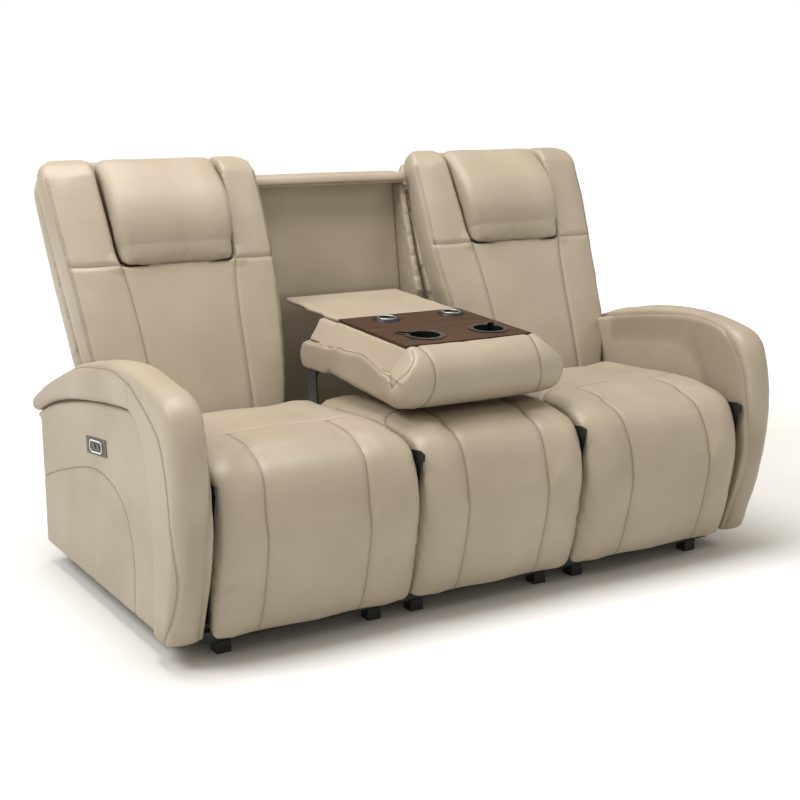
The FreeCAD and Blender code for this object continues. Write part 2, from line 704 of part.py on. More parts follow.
def make_drive(side, sign):
    """Motor and its straight track under the seat, and the block that runs on the track."""
    middle = size("motor_x") * sign
    half = size("track_width") * 0.5
    low, high = size("track_z"), size("track_z") + size("track_height")
    front, rear = size("track_front_y"), size("track_rear_y")
    track = block(f"{side}_track", (middle - half, front, low), (middle + half, rear, high))
    hanger = size("frame_wall")
    hangers = [block(f"{side}_hanger_{spot}", (middle - half, y, high),
                     (middle + half, y + hanger, size("frame_bottom") - 0.3))
               for spot, y in (("front", size("frame_front_y") + 0),
                               ("rear", size("frame_rear_y") - hanger))]
    front_end = block(f"{side}_track_nose", (middle - half, size("frame_front_y"), low),
                      (middle + half, front, high))
    motor = document.addObject("Part::Cylinder", f"{side}_motor_can")
    bind(motor, "Radius", 24)
    bind(motor, "Height", size("motor_length"))
    place(motor, middle, rear - 40, low - size("motor_length") + 6)
    gearbox = block(f"{side}_gearbox", (middle - 30, rear - 74, low - 30),
                    (middle + 30, rear - 6, high - 4))
    drive = fused(f"{side}_drive_solid", [track, front_end, gearbox, motor] + hangers)
    keep(f"{side}_drive_motor", drive)
    wall = 6
    length = size("block_length")
    rest = size("block_rest_y")
    outer = block(f"{side}_block_outer", (middle - half - wall, rest, low - wall),
                  (middle + half + wall, rest + length, high + wall))
    bore = block(f"{side}_block_bore", (middle - half - 0.4, rest - 5, low - 0.4),
                 (middle + half + 0.4, rest + length + 5, high + 0.4))
    keep(f"{side}_drive_block", cut(f"{side}_block_cut", outer, bore))


# Reclining backs and headrests, built upright and then leaned

def lean_placement():
    return FreeCAD.Placement(Vector(0, num("back_foot_y"), num("back_foot_z")),
                             Rotation(Vector(1, 0, 0), -num("back_lean")))


def headrest_pin_spot(x):
    return Vector(x, num("headrest_pin_through"), num("headrest_pin_up"))


def back_edges(up):
    """Inner and outer edge of the back at a height along the lean."""
    wing, top = num("wing_level"), num("back_top")
    foot = 0.0
    mid = 166.0
    if up <= mid:
        share = (up - foot) / (mid - foot)
        share = max(share, -0.3)
        outer = num("back_outer_foot") + share * (num("back_outer_mid") - num("back_outer_foot"))
    else:
        share = min((up - mid) / (wing - mid), 1)
        outer = num("back_outer_mid") + share * (num("back_outer_wing") - num("back_outer_mid"))
    share = max(min((up - foot) / (wing - foot), 1), -0.1)
    ease = 1 - (1 - share) ** 1.6 if share > 0 else share
    inner = num("back_inner_foot") + ease * (num("back_inner_wing") - num("back_inner_foot"))
    return inner, outer


def back_wire(up, sign, front, rear, inset, bulge):
    inner, outer = back_edges(up)
    low, high = inner + inset, outer - inset
    crown = 0.12 * (rear - front)
    corner, middle = front + crown, (low + high) / 2
    path = [((low, corner), ((low + middle) / 2, front + 0.27 * crown), (middle, front)),
            ((middle, front), ((high + middle) / 2, front + 0.27 * crown), (high, corner)),
            ((high, corner), (high + bulge, (corner + rear) / 2), (high - 6, rear)),
            ((high - 6, rear), None, (low + 6, rear)),
            ((low + 6, rear), (low - bulge, (corner + rear) / 2), (low, corner))]
    path = [tuple((sign * p[0], p[1]) if p else None for p in step) for step in path]
    return level_wire(up, path)


def make_back(side, sign):
    bottom, top = num("back_bottom"), num("back_top")
    padding, thick = num("back_padding"), num("back_thick")
    wing = num("wing_level")
    levels = ((bottom, 30, 12), (bottom + 22, 6, 2), (70, 0, -2), (166, 0, -4), (300, 0, -5),
              (wing, 0, -5), (560, 0, -4), (680, 3, 4), (top - 22, 14, 24), (top, 40, 54))
    wires = [back_wire(up, sign, front, padding, inset, 4) for up, inset, front in levels]
    cushion = Part.makeLoft(wires, True, True)
    gap = num("headrest_gap")
    low, high = num("headrest_inner") - gap, num("headrest_outer") + gap
    pocket = Part.makeBox(high - low, num("recess_depth") + 200, 400,
                          Vector(low if sign > 0 else -high, -200, num("recess_floor")))
    cushion = cushion.cut(pocket)
    bore = Part.makeCylinder(num("headrest_pin") + 2 * num("pin_play"), high - low + 24,
                             headrest_pin_spot(low - 12), Vector(1, 0, 0))
    cushion = cushion.cut(bore if sign > 0 else bore.mirror(Vector(), Vector(1, 0, 0)))
    soft(f"{side}_back_cushion", cushion, lean_placement())

    shell_front = padding + 18
    shell_wires = []
    for up, inset in ((bottom + 20, 6), (166, 2), (wing, 2), (680, 5), (top - 20, 24)):
        inner, outer = back_edges(up)
        low_x, high_x = inner + inset, outer - inset
        path = straight((sign * low_x, shell_front), (sign * high_x, shell_front),
                        (sign * (high_x - 18), thick), (sign * (low_x + 18), thick),
                        (sign * low_x, shell_front))
        shell_wires.append(level_wire(up, path))
    shell = Part.makeLoft(shell_wires, True, True)
    inner, outer = back_edges(bottom + 20)
    skirt = Part.makeBox(outer - inner - 12, num("skirt_thick"),
                         num("skirt_top") - num("skirt_bottom"),
                         Vector(inner + 6 if sign > 0 else -outer + 6, num("skirt_y"),
                                num("skirt_bottom")))
    skirt.Placement = lean_placement().inverse().multiply(skirt.Placement)
    soft(f"{side}_back_shell", shell.fuse(skirt), lean_placement())
    make_back_frame(side, sign, padding + REST_GAP, shell_front - REST_GAP)
    make_headrest(side, sign)


def make_back_frame(side, sign, front, rear):
    """Pivot tube from plate to plate, two uprights on it and a cross bar."""
    up, through = num("recline_up"), num("recline_through")
    thick, gap = num("plate_thick"), num("layer_gap")
    low = num("plate_edge") + thick + gap
    high = num("outer_plate_edge") - thick - gap
    tube = Part.makeCylinder(num("tube_radius"), high - low, Vector(low, through, up),
                             Vector(1, 0, 0))
    stub = thick + gap + 1
    pin = Part.makeCylinder(num("hinge_pin_radius"), high - low + 2 * stub,
                            Vector(low - stub, through, up), Vector(1, 0, 0))
    parts = [tube, pin]
    for x in (num("headrest_inner") - 30, num("headrest_outer") + 2):
        parts.append(Part.makeBox(28, rear - front, 650 - up, Vector(x, front, up)))
    bar_low, bar_high = num("headrest_inner") - 2, num("headrest_outer") + 2
    parts.append(Part.makeBox(bar_high - bar_low, rear - front, 30, Vector(bar_low, front, 380)))
    frame = parts[0].fuse(parts[1:])
    if sign < 0:
        frame = frame.mirror(Vector(), Vector(1, 0, 0))
    soft(f"{side}_back_frame", frame, lean_placement())


def headrest_path(inset):
    """Side outline of the headrest, which rolls over its own top."""
    front, rear = num("headrest_front"), num("headrest_rear")
    low, top = num("wing_level") + 9, num("headrest_top")
    points = [(-6, low), (front, low + 95), (front + 12, low + 190), (18, top - 22), (50, top - 6)]
    start = start_angle(points[0], points[1], 98)
    line = chain(points, start, -inset)
    end = (rear, top - 40)
    return line + straight(line[-1][2], end, (rear, low + inset), line[0][0])


def make_headrest(side, sign):
    low, high = num("headrest_inner"), num("headrest_outer")
    wires = []
    for x, inset in ((low, 18), (low + 16, 4), (low + 60, 0), (high - 60, 0), (high - 16, 4),
                     (high, 18)):
        wires.append(side_wire(sign * x, headrest_path(inset)))
    soft(f"{side}_headrest_pad", Part.makeLoft(wires, True, True), lean_placement())
    make_headrest_bracket(side, sign)


def make_headrest_bracket(side, sign):
    """A bent plate behind and under the headrest, on the rod that it tilts about."""
    low, high = num("headrest_inner"), num("headrest_outer")
    rear, up = num("headrest_rear") + REST_GAP, num("headrest_pin_up")
    middle, thick, radius = (low + high) / 2, 3, num("headrest_pin")
    gap = num("headrest_gap")
    parts = [Part.makeCylinder(radius, high - low + 2 * gap + 20,
                               headrest_pin_spot(low - gap - 10), Vector(1, 0, 0))]
    for x in (middle - 70, middle + 40):
        parts.append(Part.makeBox(30, thick, 200, Vector(x, rear, up - thick / 2)))
        parts.append(Part.makeBox(30, rear, thick,
                                  Vector(x, num("headrest_pin_through"), up - thick / 2)))
    parts.append(Part.makeBox(140, thick, 30, Vector(middle - 70, rear, up + 60)))
    bracket = parts[0].fuse(parts[1:])
    if sign < 0:
        bracket = bracket.mirror(Vector(), Vector(1, 0, 0))
    soft(f"{side}_headrest_bracket", bracket, lean_placement())


# Centre back: recessed panel, padded side posts and top rail

def make_centre_back():
    half, thick = size("post_inner") - REST_GAP, size("panel_thick")
    low_y, high_y = size("panel_low_y"), size("panel_top_y")
    fold, top, foot = size("panel_fold_z"), size("panel_top_z"), size("rail_top") + REST_GAP
    outline = [(low_y, foot), (low_y, fold), (high_y, top), (high_y + thick, top),
               (low_y + thick, fold), (low_y + thick, foot)]
    panel = plate("centre_panel_body", outline, -half, half * 2)
    keep("centre_back_panel", panel)
    posts = []
    width = size("post_outer") - size("post_inner")
    rear = size("centre_rear_edge")
    post = [(size("post_low_y"), foot), (size("post_low_y"), fold),
            (size("post_high_y"), size("post_top_z")), (rear, size("post_top_z")), (rear, foot)]
    for side, low_x in (("left", -size("post_outer")), ("right", size("post_inner"))):
        posts.append(plate(f"{side}_post", post, low_x, width))
    group("centre_back_posts", posts)
    half, inset = num("post_outer"), 5
    low, high = num("post_top_z") + REST_GAP, num("rail_pad_top")
    front, rear = num("rail_front_y"), num("centre_rear_edge")
    wires = []
    for x, draw in ((-half, inset), (-half + 14, 0), (0, -1), (half - 14, 0), (half, inset)):
        corner = 12
        path = straight((rear - draw, low), (front + 4, low))
        path += [((front + 4, low), (front + draw, (low + high) / 2 - 6),
                  (front + draw + 2, high - corner))]
        path += [((front + draw + 2, high - corner), (front + draw + 7, high - 4 - draw),
                  (front + draw + 20, high - draw))]
        path += straight((front + draw + 20, high - draw), (rear - draw, high - draw),
                         (rear - draw, low))
        wires.append(side_wire(x, path))
    soft("centre_back_rail", Part.makeLoft(wires, True, True))


# Console, built level with its hinge at the origin and then tilted

def console_placement():
    return FreeCAD.Placement(Vector(0, num("console_pivot_y"), num("console_pivot_z")),
                             Rotation(Vector(1, 0, 0), num("console_tilt")))


def console_pad_path(inset):
    belly = (num("console_belly"), num("console_belly_up"))
    lip = (num("console_lip"), num("tray_top") + num("wood_thick"))
    seat, rear = num("console_seat"), num("console_rear")
    under = num("console_under")
    upper = chain([belly, (belly[0] + 46, belly[1] + 72), lip], 90, -inset)
    lower = chain([belly, (belly[0] + 68, under - 9), (30, under)], -90, inset)
    step = (lip[0], seat)
    rear_low, rear_high = (rear - inset, under + 30), (rear - 24, seat)
    path = reverse(lower) + upper
    path += straight(upper[-1][2], (lip[0], upper[-1][2][1] - 6), step, rear_high, rear_low,
                     lower[-1][2])
    return path


def make_console_pad():
    half = num("console_half")
    wires = []
    for x, inset in ((-half, 20), (-half + 12, 6), (-half + 50, 0), (0, -2), (half - 50, 0),
                     (half - 12, 6), (half, 20)):
        wires.append(side_wire(x, console_pad_path(inset)))
    pad = Part.makeLoft(wires, True, True)
    notch_x = num("arm_plate_x") - 1.5
    for low in (notch_x, -notch_x - 60):
        pad = pad.cut(Part.makeBox(60, 120, 110, Vector(low, -42, -20)))
    seat = num("console_seat")
    for low in (-num("arm_plate_x") - 4, num("arm_plate_x") - 34):
        pad = pad.cut(Part.makeBox(38, 56, 10, Vector(low, -33, seat - 4)))
    soft("console_pad", pad, console_placement())


def cup_spots():
    forward = num("cup_forward")
    turn = num("slot_turn")
    return ((num("cup_left_x"), forward, turn), (num("cup_right_x"), forward, 180 - turn))


def cup_solid(x, forward, turn, radius, slot_half, bottom, top, slot_bottom):
    """A round well with a straight slot for a mug's handle."""
    well = Part.makeCylinder(radius, top - bottom, Vector(x, forward, bottom))
    centre = num("slot_reach") - num("slot_width") / 2
    slot = Part.makeBox(centre, 2 * slot_half, top - slot_bottom,
                        Vector(0, -slot_half, slot_bottom))
    end = Part.makeCylinder(slot_half, top - slot_bottom, Vector(centre, 0, slot_bottom))
    slot = slot.fuse(end)
    slot.Placement = FreeCAD.Placement(Vector(x, forward, 0), Rotation(Vector(0, 0, 1), turn))
    return well.fuse(slot).removeSplitter()


def make_cup_holders():
    top = num("tray_top") + num("wood_thick")
    wall, radius, half = num("cup_wall"), num("cup_radius"), num("slot_width") / 2
    rim, thick = num("cup_rim"), num("cup_rim_thick")
    for (side, sign), (x, forward, turn) in zip(SIDES, cup_spots()):
        bottom, slot_bottom = top - num("cup_depth"), top - num("slot_depth")
        body = cup_solid(x, forward, turn, radius, half, bottom, top + thick, slot_bottom)
        flange = cup_solid(x, forward, turn, rim, half + 6, top + 0.2, top + thick, top + 0.2)
        inside = cup_solid(x, forward, turn, radius - wall, half - wall, bottom + wall,
                           top + thick + 5, slot_bottom + wall)
        soft(f"{side}_cup_holder", body.fuse(flange).cut(inside), console_placement())


def make_chargers():
    radius, height, hole = num("charger_radius"), num("charger_height"), num("charger_hole")
    top = num("tray_top") + num("wood_thick")
    chargers = []
    for x in (num("charger_left_x"), num("charger_right_x")):
        spot = Vector(x, num("charger_forward"), top + 0.2)
        disc = Part.makeCone(radius, radius - 3, height, spot)
        stem = Part.makeCylinder(hole - 1, num("wood_thick") + 12,
                                 spot - Vector(0, 0, num("wood_thick") + 12))
        dish = Part.makeCylinder(hole - 6, 2, spot + Vector(0, 0, height - 2))
        chargers.append(disc.fuse(stem).cut(dish))
    soft("wireless_chargers", Part.makeCompound(chargers), console_placement())


def make_tray():
    low, high = num("console_seat") + 0.5, num("tray_top")
    front, rear = num("tray_front"), num("tray_rear")
    foot, top = num("tray_foot_half"), num("tray_top_half")
    section = straight((-foot, low), (foot, low), (top, high), (-top, high), (-foot, low))
    edges = [Part.LineSegment(Vector(a[0], front, a[1]), Vector(b[0], front, b[1])).toShape()
             for a, b, c in [(p[0], p[2], None) for p in section]]
    tray = Part.Face(Part.Wire(edges)).extrude(Vector(0, rear - front, 0))
    deck_low = num("tray_top") + num("wood_thick") - num("deck_thick") - 0.3
    ledge = Part.makeBox(600, 300, 60, Vector(-300, num("wood_rear"), deck_low))
    tray = tray.cut(ledge)
    wall, radius, half = 1.0, num("cup_radius"), num("slot_width") / 2
    top_face = num("tray_top") + num("wood_thick")
    for x, forward, turn in cup_spots():
        tray = tray.cut(cup_solid(x, forward, turn, radius + wall, half + wall,
                                  top_face - num("cup_depth") - 1, high + 5,
                                  top_face - num("slot_depth") - 1))
    for x in (num("charger_left_x"), num("charger_right_x")):
        tray = tray.cut(Part.makeCylinder(num("charger_hole"), 40,
                                          Vector(x, num("charger_forward"), high - 13)))
    soft("console_tray", tray, console_placement())


def make_wood_top():
    half, thick = num("wood_half"), num("wood_thick")
    low = num("tray_top") + 0.2
    front, rear = num("tray_front"), num("wood_rear")
    board = Part.makeBox(2 * half, rear - front, thick - 0.2, Vector(-half, front, low))
    radius, slot = num("cup_radius"), num("slot_width") / 2
    for x, forward, turn in cup_spots():
        board = board.cut(cup_solid(x, forward, turn, radius + 0.6, slot + 0.6, low - 5,
                                    low + thick + 5, low - 5))
    for x in (num("charger_left_x"), num("charger_right_x")):
        board = board.cut(Part.makeCylinder(num("charger_hole"), 40,
                                            Vector(x, num("charger_forward"), low - 10)))
    soft("console_wood_top", board, console_placement())


def make_deck():
    half, thick = num("deck_half"), num("deck_thick")
    top = num("tray_top") + num("wood_thick")
    low_y, high_y = num("wood_rear") + 0.5, num("deck_rear")
    wires = []
    for x, inset in ((-half, 4), (-half + 10, 0.5), (0, 0), (half - 10, 0.5), (half, 4)):
        path = straight((low_y, top - thick), (high_y - inset, top - thick))
        path += [((high_y - inset, top - thick), (high_y - inset + 2, top - thick / 2),
                  (high_y - inset - 3, top - inset / 2))]
        path += straight((high_y - inset - 3, top - inset / 2), (low_y, top - inset / 2),
                         (low_y, top - thick))
        wires.append(side_wire(x, path))
    soft("console_deck", Part.makeLoft(wires, True, True), console_placement())


def make_console_hinge():
    """Fixed plates with pins, and the arms that turn on them under the tray."""
    y, z = size("console_pivot_y"), size("console_pivot_z")
    thick, arm_x = size("arm_plate_thick"), size("arm_plate_x")
    radius = size("hinge_pin_radius")
    foot = size("frame_top")
    outline = [(y - 40, foot), (y + 10, foot), (y + 22, z - 20), (y + 22, z + 8),
               (y + 8, z + 22), (y - 8, z + 22), (y - 22, z + 8), (y - 25, z - 40),
               (y - 35, z - 140)]
    brackets = []
    clear = thick + 0.8
    for side, low_x, length in (("left", -arm_x - clear - thick, thick + thick + 0.8),
                                ("right", arm_x + clear, -thick - 0.8)):
        brackets.append(plate(f"{side}_console_bracket", outline, low_x, thick,
                              pins=[(y, z, radius, length)]))
    group("console_hinge_brackets", brackets)
    arms = []
    hole = num("hinge_pin_radius") + num("pin_play")
    for sign in (-1, 1):
        x = num("arm_plate_x")
        wide = num("arm_plate_thick")
        low = x if sign > 0 else -x - wide
        eye = Part.makeCylinder(20, wide, Vector(low, 0, 0), Vector(1, 0, 0))
        strap = Part.makeBox(wide, 50, num("console_seat"), Vector(low, -30, 0))
        flange = Part.makeBox(30, 50, 3, Vector(x - 30 if sign > 0 else -x, -30,
                                                num("console_seat") + 0.2 - 3))
        web = eye.fuse([strap, flange])
        web = web.cut(Part.makeCylinder(hole, 20, Vector(low - 5, 0, 0), Vector(1, 0, 0)))
        arms.append(web)
    soft("console_arms", Part.makeCompound(arms), console_placement())


make_base()
for side_name, side_sign in SIDES:
    make_arm(side_name, side_sign)
    make_switch(side_name, side_sign)
    make_outer_seat(side_name, side_sign)
    make_footrest_board(side_name, side_sign)
    make_mechanism(side_name, side_sign)
    make_drive(side_name, side_sign)
    make_back(side_name, side_sign)
make_centre_seat()
group("seat_webbing", webbing_straps)
make_centre_back()
make_console_pad()
make_tray()
make_wood_top()
make_deck()
make_cup_holders()
make_chargers()
make_console_hinge()

document.recompute()
for thing in document.Objects:
    if "Invalid" in thing.State or "Error" in thing.State:
        raise RuntimeError(f"{thing.Label} failed: {thing.State}")
faults = []
for label, thing in nodes.items():
    if thing.Shape.isNull() or not thing.Shape.isValid():
        faults.append(f"{label} has no valid shape")
    elif not thing.Shape.Solids or min(solid.Volume for solid in thing.Shape.Solids) < 1:
        faults.append(f"{label} holds an empty or inverted solid")
if faults:
    raise RuntimeError("; ".join(faults))

os.makedirs("parts", exist_ok=True)
for label, thing in nodes.items():
    thing.Shape.exportStep(f"parts/{label}.step")
print(len(nodes), "nodes")
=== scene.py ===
"""Looks of a leather sofa with a drop down console, built round its fixed frame."""

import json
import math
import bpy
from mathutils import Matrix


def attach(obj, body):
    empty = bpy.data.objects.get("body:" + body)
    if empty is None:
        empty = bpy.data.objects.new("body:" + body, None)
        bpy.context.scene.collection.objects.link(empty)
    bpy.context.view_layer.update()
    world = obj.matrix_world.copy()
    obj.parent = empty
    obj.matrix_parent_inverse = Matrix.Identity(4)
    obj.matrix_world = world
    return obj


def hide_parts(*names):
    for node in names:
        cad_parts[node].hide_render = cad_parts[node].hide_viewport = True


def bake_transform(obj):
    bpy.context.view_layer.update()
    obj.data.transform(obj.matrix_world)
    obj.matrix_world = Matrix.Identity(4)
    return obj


bl_info = {
    "name": "Sofa with drop down console",
    "version": (1, 0, 0),
    "blender": (4, 5, 0),
    "location": "View3D > Sidebar > Sofa",
    "description": "Builds the sofa's leather, stitching, console trim and studio",
    "category": "Add Mesh",
}

import bpy
from mathutils import Matrix, Vector
from mathutils.bvhtree import BVHTree
from mathutils.kdtree import KDTree

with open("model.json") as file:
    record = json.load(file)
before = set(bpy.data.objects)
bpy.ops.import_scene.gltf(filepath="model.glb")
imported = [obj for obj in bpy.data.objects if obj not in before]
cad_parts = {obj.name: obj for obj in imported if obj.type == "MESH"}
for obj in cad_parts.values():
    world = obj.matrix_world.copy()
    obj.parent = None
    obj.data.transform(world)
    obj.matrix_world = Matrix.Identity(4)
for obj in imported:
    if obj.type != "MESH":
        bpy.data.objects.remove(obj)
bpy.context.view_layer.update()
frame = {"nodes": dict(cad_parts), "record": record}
NODES = frame["nodes"]
MM = 0.001
MIRROR = Matrix.Scale(-1, 4, Vector((1, 0, 0)))


# Settings that a user would change

def length(name, default, low, high, description):
    """A length that the sidebar shows."""
    return bpy.props.FloatProperty(name=name, description=description, default=default,
                                   min=low, max=high, unit="LENGTH")


def colour(name, default, description):
    """A colour that the sidebar shows."""
    return bpy.props.FloatVectorProperty(name=name, description=description, default=default,
                                         subtype="COLOR", size=3, min=0, max=1)


class SofaSizes(bpy.types.PropertyGroup):
    """Sizes of the padding, the seams and the stitches"""
    seat_voxel: length("Padding mesh", 0.0088, 0.004, 0.02,
                       "Mesh width of the padded pieces before they are refined")
    trim_voxel: length("Trim mesh", 0.0070, 0.003, 0.02,
                       "Mesh width of the smaller padded pieces")
    puff: length("Puff", 0.006, 0.0, 0.03, "How far the filling may push the leather out")
    stitch_pitch: length("Stitch pitch", 0.0075, 0.003, 0.02,
                         "Distance from one stitch to the next")
    stitch_length: length("Stitch length", 0.0052, 0.002, 0.02,
                          "Length of the thread that shows in one stitch")
    thread: length("Thread", 0.0014, 0.0005, 0.004, "Thickness of the stitching thread")
    seam_depth: length("Seam depth", 0.0045, 0.0, 0.02,
                       "How deep a sewn seam pulls into the padding")
    seam_width: length("Seam width", 0.010, 0.002, 0.05,
                       "How far from the seam the padding dips")


class SofaColours(bpy.types.PropertyGroup):
    """Colours of the leather, the thread and the wood"""
    hide: colour("Hide", (0.39, 0.330, 0.250), "Main colour of the leather")
    # The darker hide colour, tinted, also gives the seams and the painted shade where pieces
    # meet
    hide_shade: colour("Hide, darker", (0.34, 0.284, 0.210),
                       "Colour of the leather's darker clouds and seams")
    thread: colour("Thread", (0.075, 0.045, 0.025), "Colour of the stitching")
    walnut: colour("Walnut", (0.034, 0.016, 0.008), "Main colour of the console's wooden top")
    walnut_streak: colour("Walnut streaks", (0.078, 0.034, 0.017),
                          "Colour of the redder streaks in the wood")


def sizes():
    """The sizes in the sidebar."""
    return bpy.context.scene.sofa_sizes


def colours():
    """The colours in the sidebar."""
    return bpy.context.scene.sofa_colours


# Small sums

def ramp(value, start, width):
    """0 up to the start and 1 from a width further on. A negative width runs downward."""
    return max(0, min(1, (value - start) / width))


def ease(share):
    """A share from 0 to 1 with round ends."""
    return share * share * (3 - 2 * share)


def hump(value, low, peak, high):
    """0 at low and high, 1 at the peak, with round ends."""
    share = (value - low) / (peak - low) if value < peak else (high - value) / (high - peak)
    return ease(max(0, min(1, share)))


def between(knots, value):
    """The height over a value of a broken line through knots of value and height."""
    if value <= knots[0][0]:
        return knots[0][1]
    for (low, first), (high, second) in zip(knots, knots[1:]):
        if value <= high:
            return first + (second - first) * (value - low) / (high - low)
    return knots[-1][1]


def points(*rows):
    """Points in metres from rows of x, y, z in millimetres."""
    return [Vector(row) * MM for row in rows]


# Materials

def feed(tree, node, inputs):
    """Gives inputs, by name or number, a value or another node's output."""
    for name, value in inputs.items():
        if isinstance(value, bpy.types.NodeSocket):
            tree.links.new(value, node.inputs[name])
        else:
            node.inputs[name].default_value = value


def node_of(tree, kind, inputs=None, **settings):
    """A new node with its settings and inputs."""
    made = tree.nodes.new(kind)
    for name, value in settings.items():
        setattr(made, name, value)
    feed(tree, made, inputs or {})
    return made


def noise(tree, vector, scale, detail, roughness, distortion=0.0):
    """Cloudy noise."""
    return node_of(tree, "ShaderNodeTexNoise", {
        "Vector": vector, "Scale": scale, "Detail": detail, "Roughness": roughness,
        "Distortion": distortion}).outputs["Fac"]


def product(tree, first, second):
    """One number times another."""
    return node_of(tree, "ShaderNodeMath", {0: first, 1: second},
                   operation="MULTIPLY").outputs[0]


def stretched(tree, value, low, high):
    """0 where the value is low and 1 where it is high."""
    return node_of(tree, "ShaderNodeMapRange", {
        "Value": value, "From Min": low, "From Max": high}).outputs["Result"]


def range_between(tree, mask, low, high):
    """Low where the mask is 0 and high where it is 1."""
    return node_of(tree, "ShaderNodeMapRange", {
        "Value": mask, "To Min": low, "To Max": high}).outputs["Result"]


def colour_between(tree, mask, dark, light):
    """Dark where the mask is 0 and light where it is 1. Each is a colour or an output."""
    dark, light = (each if isinstance(each, bpy.types.NodeSocket) else (*each, 1)
                   for each in (dark, light))
    return node_of(tree, "ShaderNodeMix", {"A": dark, "B": light, "Factor": mask},
                   data_type="RGBA").outputs["Result"]


def raised(tree, height, distance, strength):
    """The normal of a surface with this height on it."""
    return node_of(tree, "ShaderNodeBump", {
        "Height": height, "Distance": distance, "Strength": strength}).outputs["Normal"]


def new_group(name, inputs, outputs):
    """An empty node group with float or vector sockets, and its input and output nodes."""
    kinds = {"F": "NodeSocketFloat", "V": "NodeSocketVector"}
    group = bpy.data.node_groups.new(name, "ShaderNodeTree")
    for label, kind, default in inputs:
        socket = group.interface.new_socket(label, in_out="INPUT", socket_type=kinds[kind])
        if default is not None:
            socket.default_value = default
    for label, kind in outputs:
        group.interface.new_socket(label, in_out="OUTPUT", socket_type=kinds[kind])
    return group, group.nodes.new("NodeGroupInput").outputs, group.nodes.new("NodeGroupOutput")


def grain_group():
    """Fine pebbled hide: small cells, pores and soft clouds of tone."""
    group, source, result = new_group(
        "Hide grain", [("Vector", "V", None), ("Cells", "F", 480.0), ("Clouds", "F", 5.0)],
        [("Height", "F"), ("Tone", "F")])
    vector = source["Vector"]
    cells = node_of(group, "ShaderNodeTexVoronoi", {"Vector": vector, "Scale": source["Cells"]},
                    feature="DISTANCE_TO_EDGE").outputs["Distance"]
    pores = noise(group, vector, product(group, source["Cells"], 0.55), 3.0, 0.6)
    height = node_of(group, "ShaderNodeMath", {
        0: pores, 1: 0.5, 2: stretched(group, cells, 0.0, 0.35)}, operation="MULTIPLY_ADD")
    clouds = noise(group, vector, source["Clouds"], 2.0, 0.5)
    feed(group, result, {"Height": height.outputs[0],
                         "Tone": stretched(group, clouds, 0.3, 0.7)})
    return group


def streak_group():
    """Long wood figure: stretched noise for streaks and fine pores."""
    group, source, result = new_group(
        "Wood figure", [("Vector", "V", None), ("Along", "V", (3.0, 60.0, 60.0))],
        [("Streak", "F"), ("Pores", "F")])
    long = node_of(group, "ShaderNodeVectorMath", {0: source["Vector"], 1: source["Along"]},
                   operation="MULTIPLY").outputs[0]
    streak = noise(group, long, 1.0, 5.0, 0.62, 0.6)
    feed(group, result, {"Streak": stretched(group, streak, 0.35, 0.68),
                         "Pores": noise(group, long, 7.0, 3.0, 0.7)})
    return group


def wear_group():
    """Cloudy wear for paint, metal and plastic."""
    group, source, result = new_group(
        "Surface wear", [("Vector", "V", None), ("Scale", "F", 60.0)],
        [("Mask", "F"), ("Height", "F")])
    vector, fine_scale = source["Vector"], product(group, source["Scale"], 22.0)
    feed(group, result, {"Mask": noise(group, vector, source["Scale"], 4.0, 0.6),
                         "Height": noise(group, vector, fine_scale, 2.0, 0.5)})
    return group


def start_material(name):
    """A material, its node tree, its shader and the object's own coordinates."""
    material = bpy.data.materials.new(name)
    material.use_nodes = True
    tree = material.node_tree
    tree.nodes.clear()
    shader = node_of(tree, "ShaderNodeBsdfPrincipled")
    node_of(tree, "ShaderNodeOutputMaterial", {"Surface": shader.outputs[0]})
    return material, tree, shader, node_of(tree, "ShaderNodeTexCoord").outputs["Object"]


# Tint and share of the seam attribute's darkening: seam lines, and painted shade where pieces
# meet
SEAM_AND_PAINTED_SHADE_TINT = (0.42, 0.36, 0.28)
SEAM_AND_PAINTED_SHADE_SHARE = 0.45


def leather(name, light, dark, grain):
    """Pebbled hide that darkens in its seams, and with painted shade where one piece meets
    another.
    """
    material, tree, shader, place = start_material(name)
    hide = node_of(tree, "ShaderNodeGroup", {"Vector": place}, node_tree=grain).outputs
    # The seam attribute holds the dark seam lines and the painted shade where pieces meet
    seam = node_of(tree, "ShaderNodeAttribute", attribute_name="seam").outputs["Fac"]
    in_seam_and_painted_shade = tuple(part * tint for part, tint in zip(dark, SEAM_AND_PAINTED_SHADE_TINT))
    tone = colour_between(tree, hide["Tone"], dark, light)
    feed(tree, shader, {
        "Base Color": colour_between(tree, product(tree, seam, SEAM_AND_PAINTED_SHADE_SHARE), tone, in_seam_and_painted_shade),
        "Roughness": range_between(tree, hide["Tone"], 0.50, 0.42),
        "Normal": raised(tree, hide["Height"], 0.00025, 0.35),
        "Specular IOR Level": 0.45, "Coat Weight": 0.06, "Coat Roughness": 0.35})
    return material


def worn(wear, name, light, dark, rough, scale=60.0, metallic=0.0, bump=0.0001, coat=0.0):
    """Thread, paint, metal or plastic with cloudy wear."""
    material, tree, shader, place = start_material(name)
    cloud = node_of(tree, "ShaderNodeGroup", {"Vector": place, "Scale": scale},
                    node_tree=wear).outputs
    feed(tree, shader, {
        "Base Color": colour_between(tree, cloud["Mask"], dark, light),
        "Roughness": range_between(tree, cloud["Mask"], *rough),
        "Normal": raised(tree, cloud["Height"], bump, 0.3),
        "Metallic": metallic, "Coat Weight": coat, "Coat Roughness": 0.08})
    return material


def wooden(figure, name, dark, light, along, rough, coat):
    """Wood with streaks along its length."""
    material, tree, shader, place = start_material(name)
    grain = node_of(tree, "ShaderNodeGroup", {"Vector": place, "Along": along},
                    node_tree=figure).outputs
    feed(tree, shader, {
        "Base Color": colour_between(tree, grain["Streak"], dark, light),
        "Roughness": range_between(tree, grain["Pores"], *rough),
        "Normal": raised(tree, grain["Pores"], 0.0002, 0.3),
        "Specular IOR Level": 0.25, "Coat Weight": coat, "Coat Roughness": 0.25})
    return material


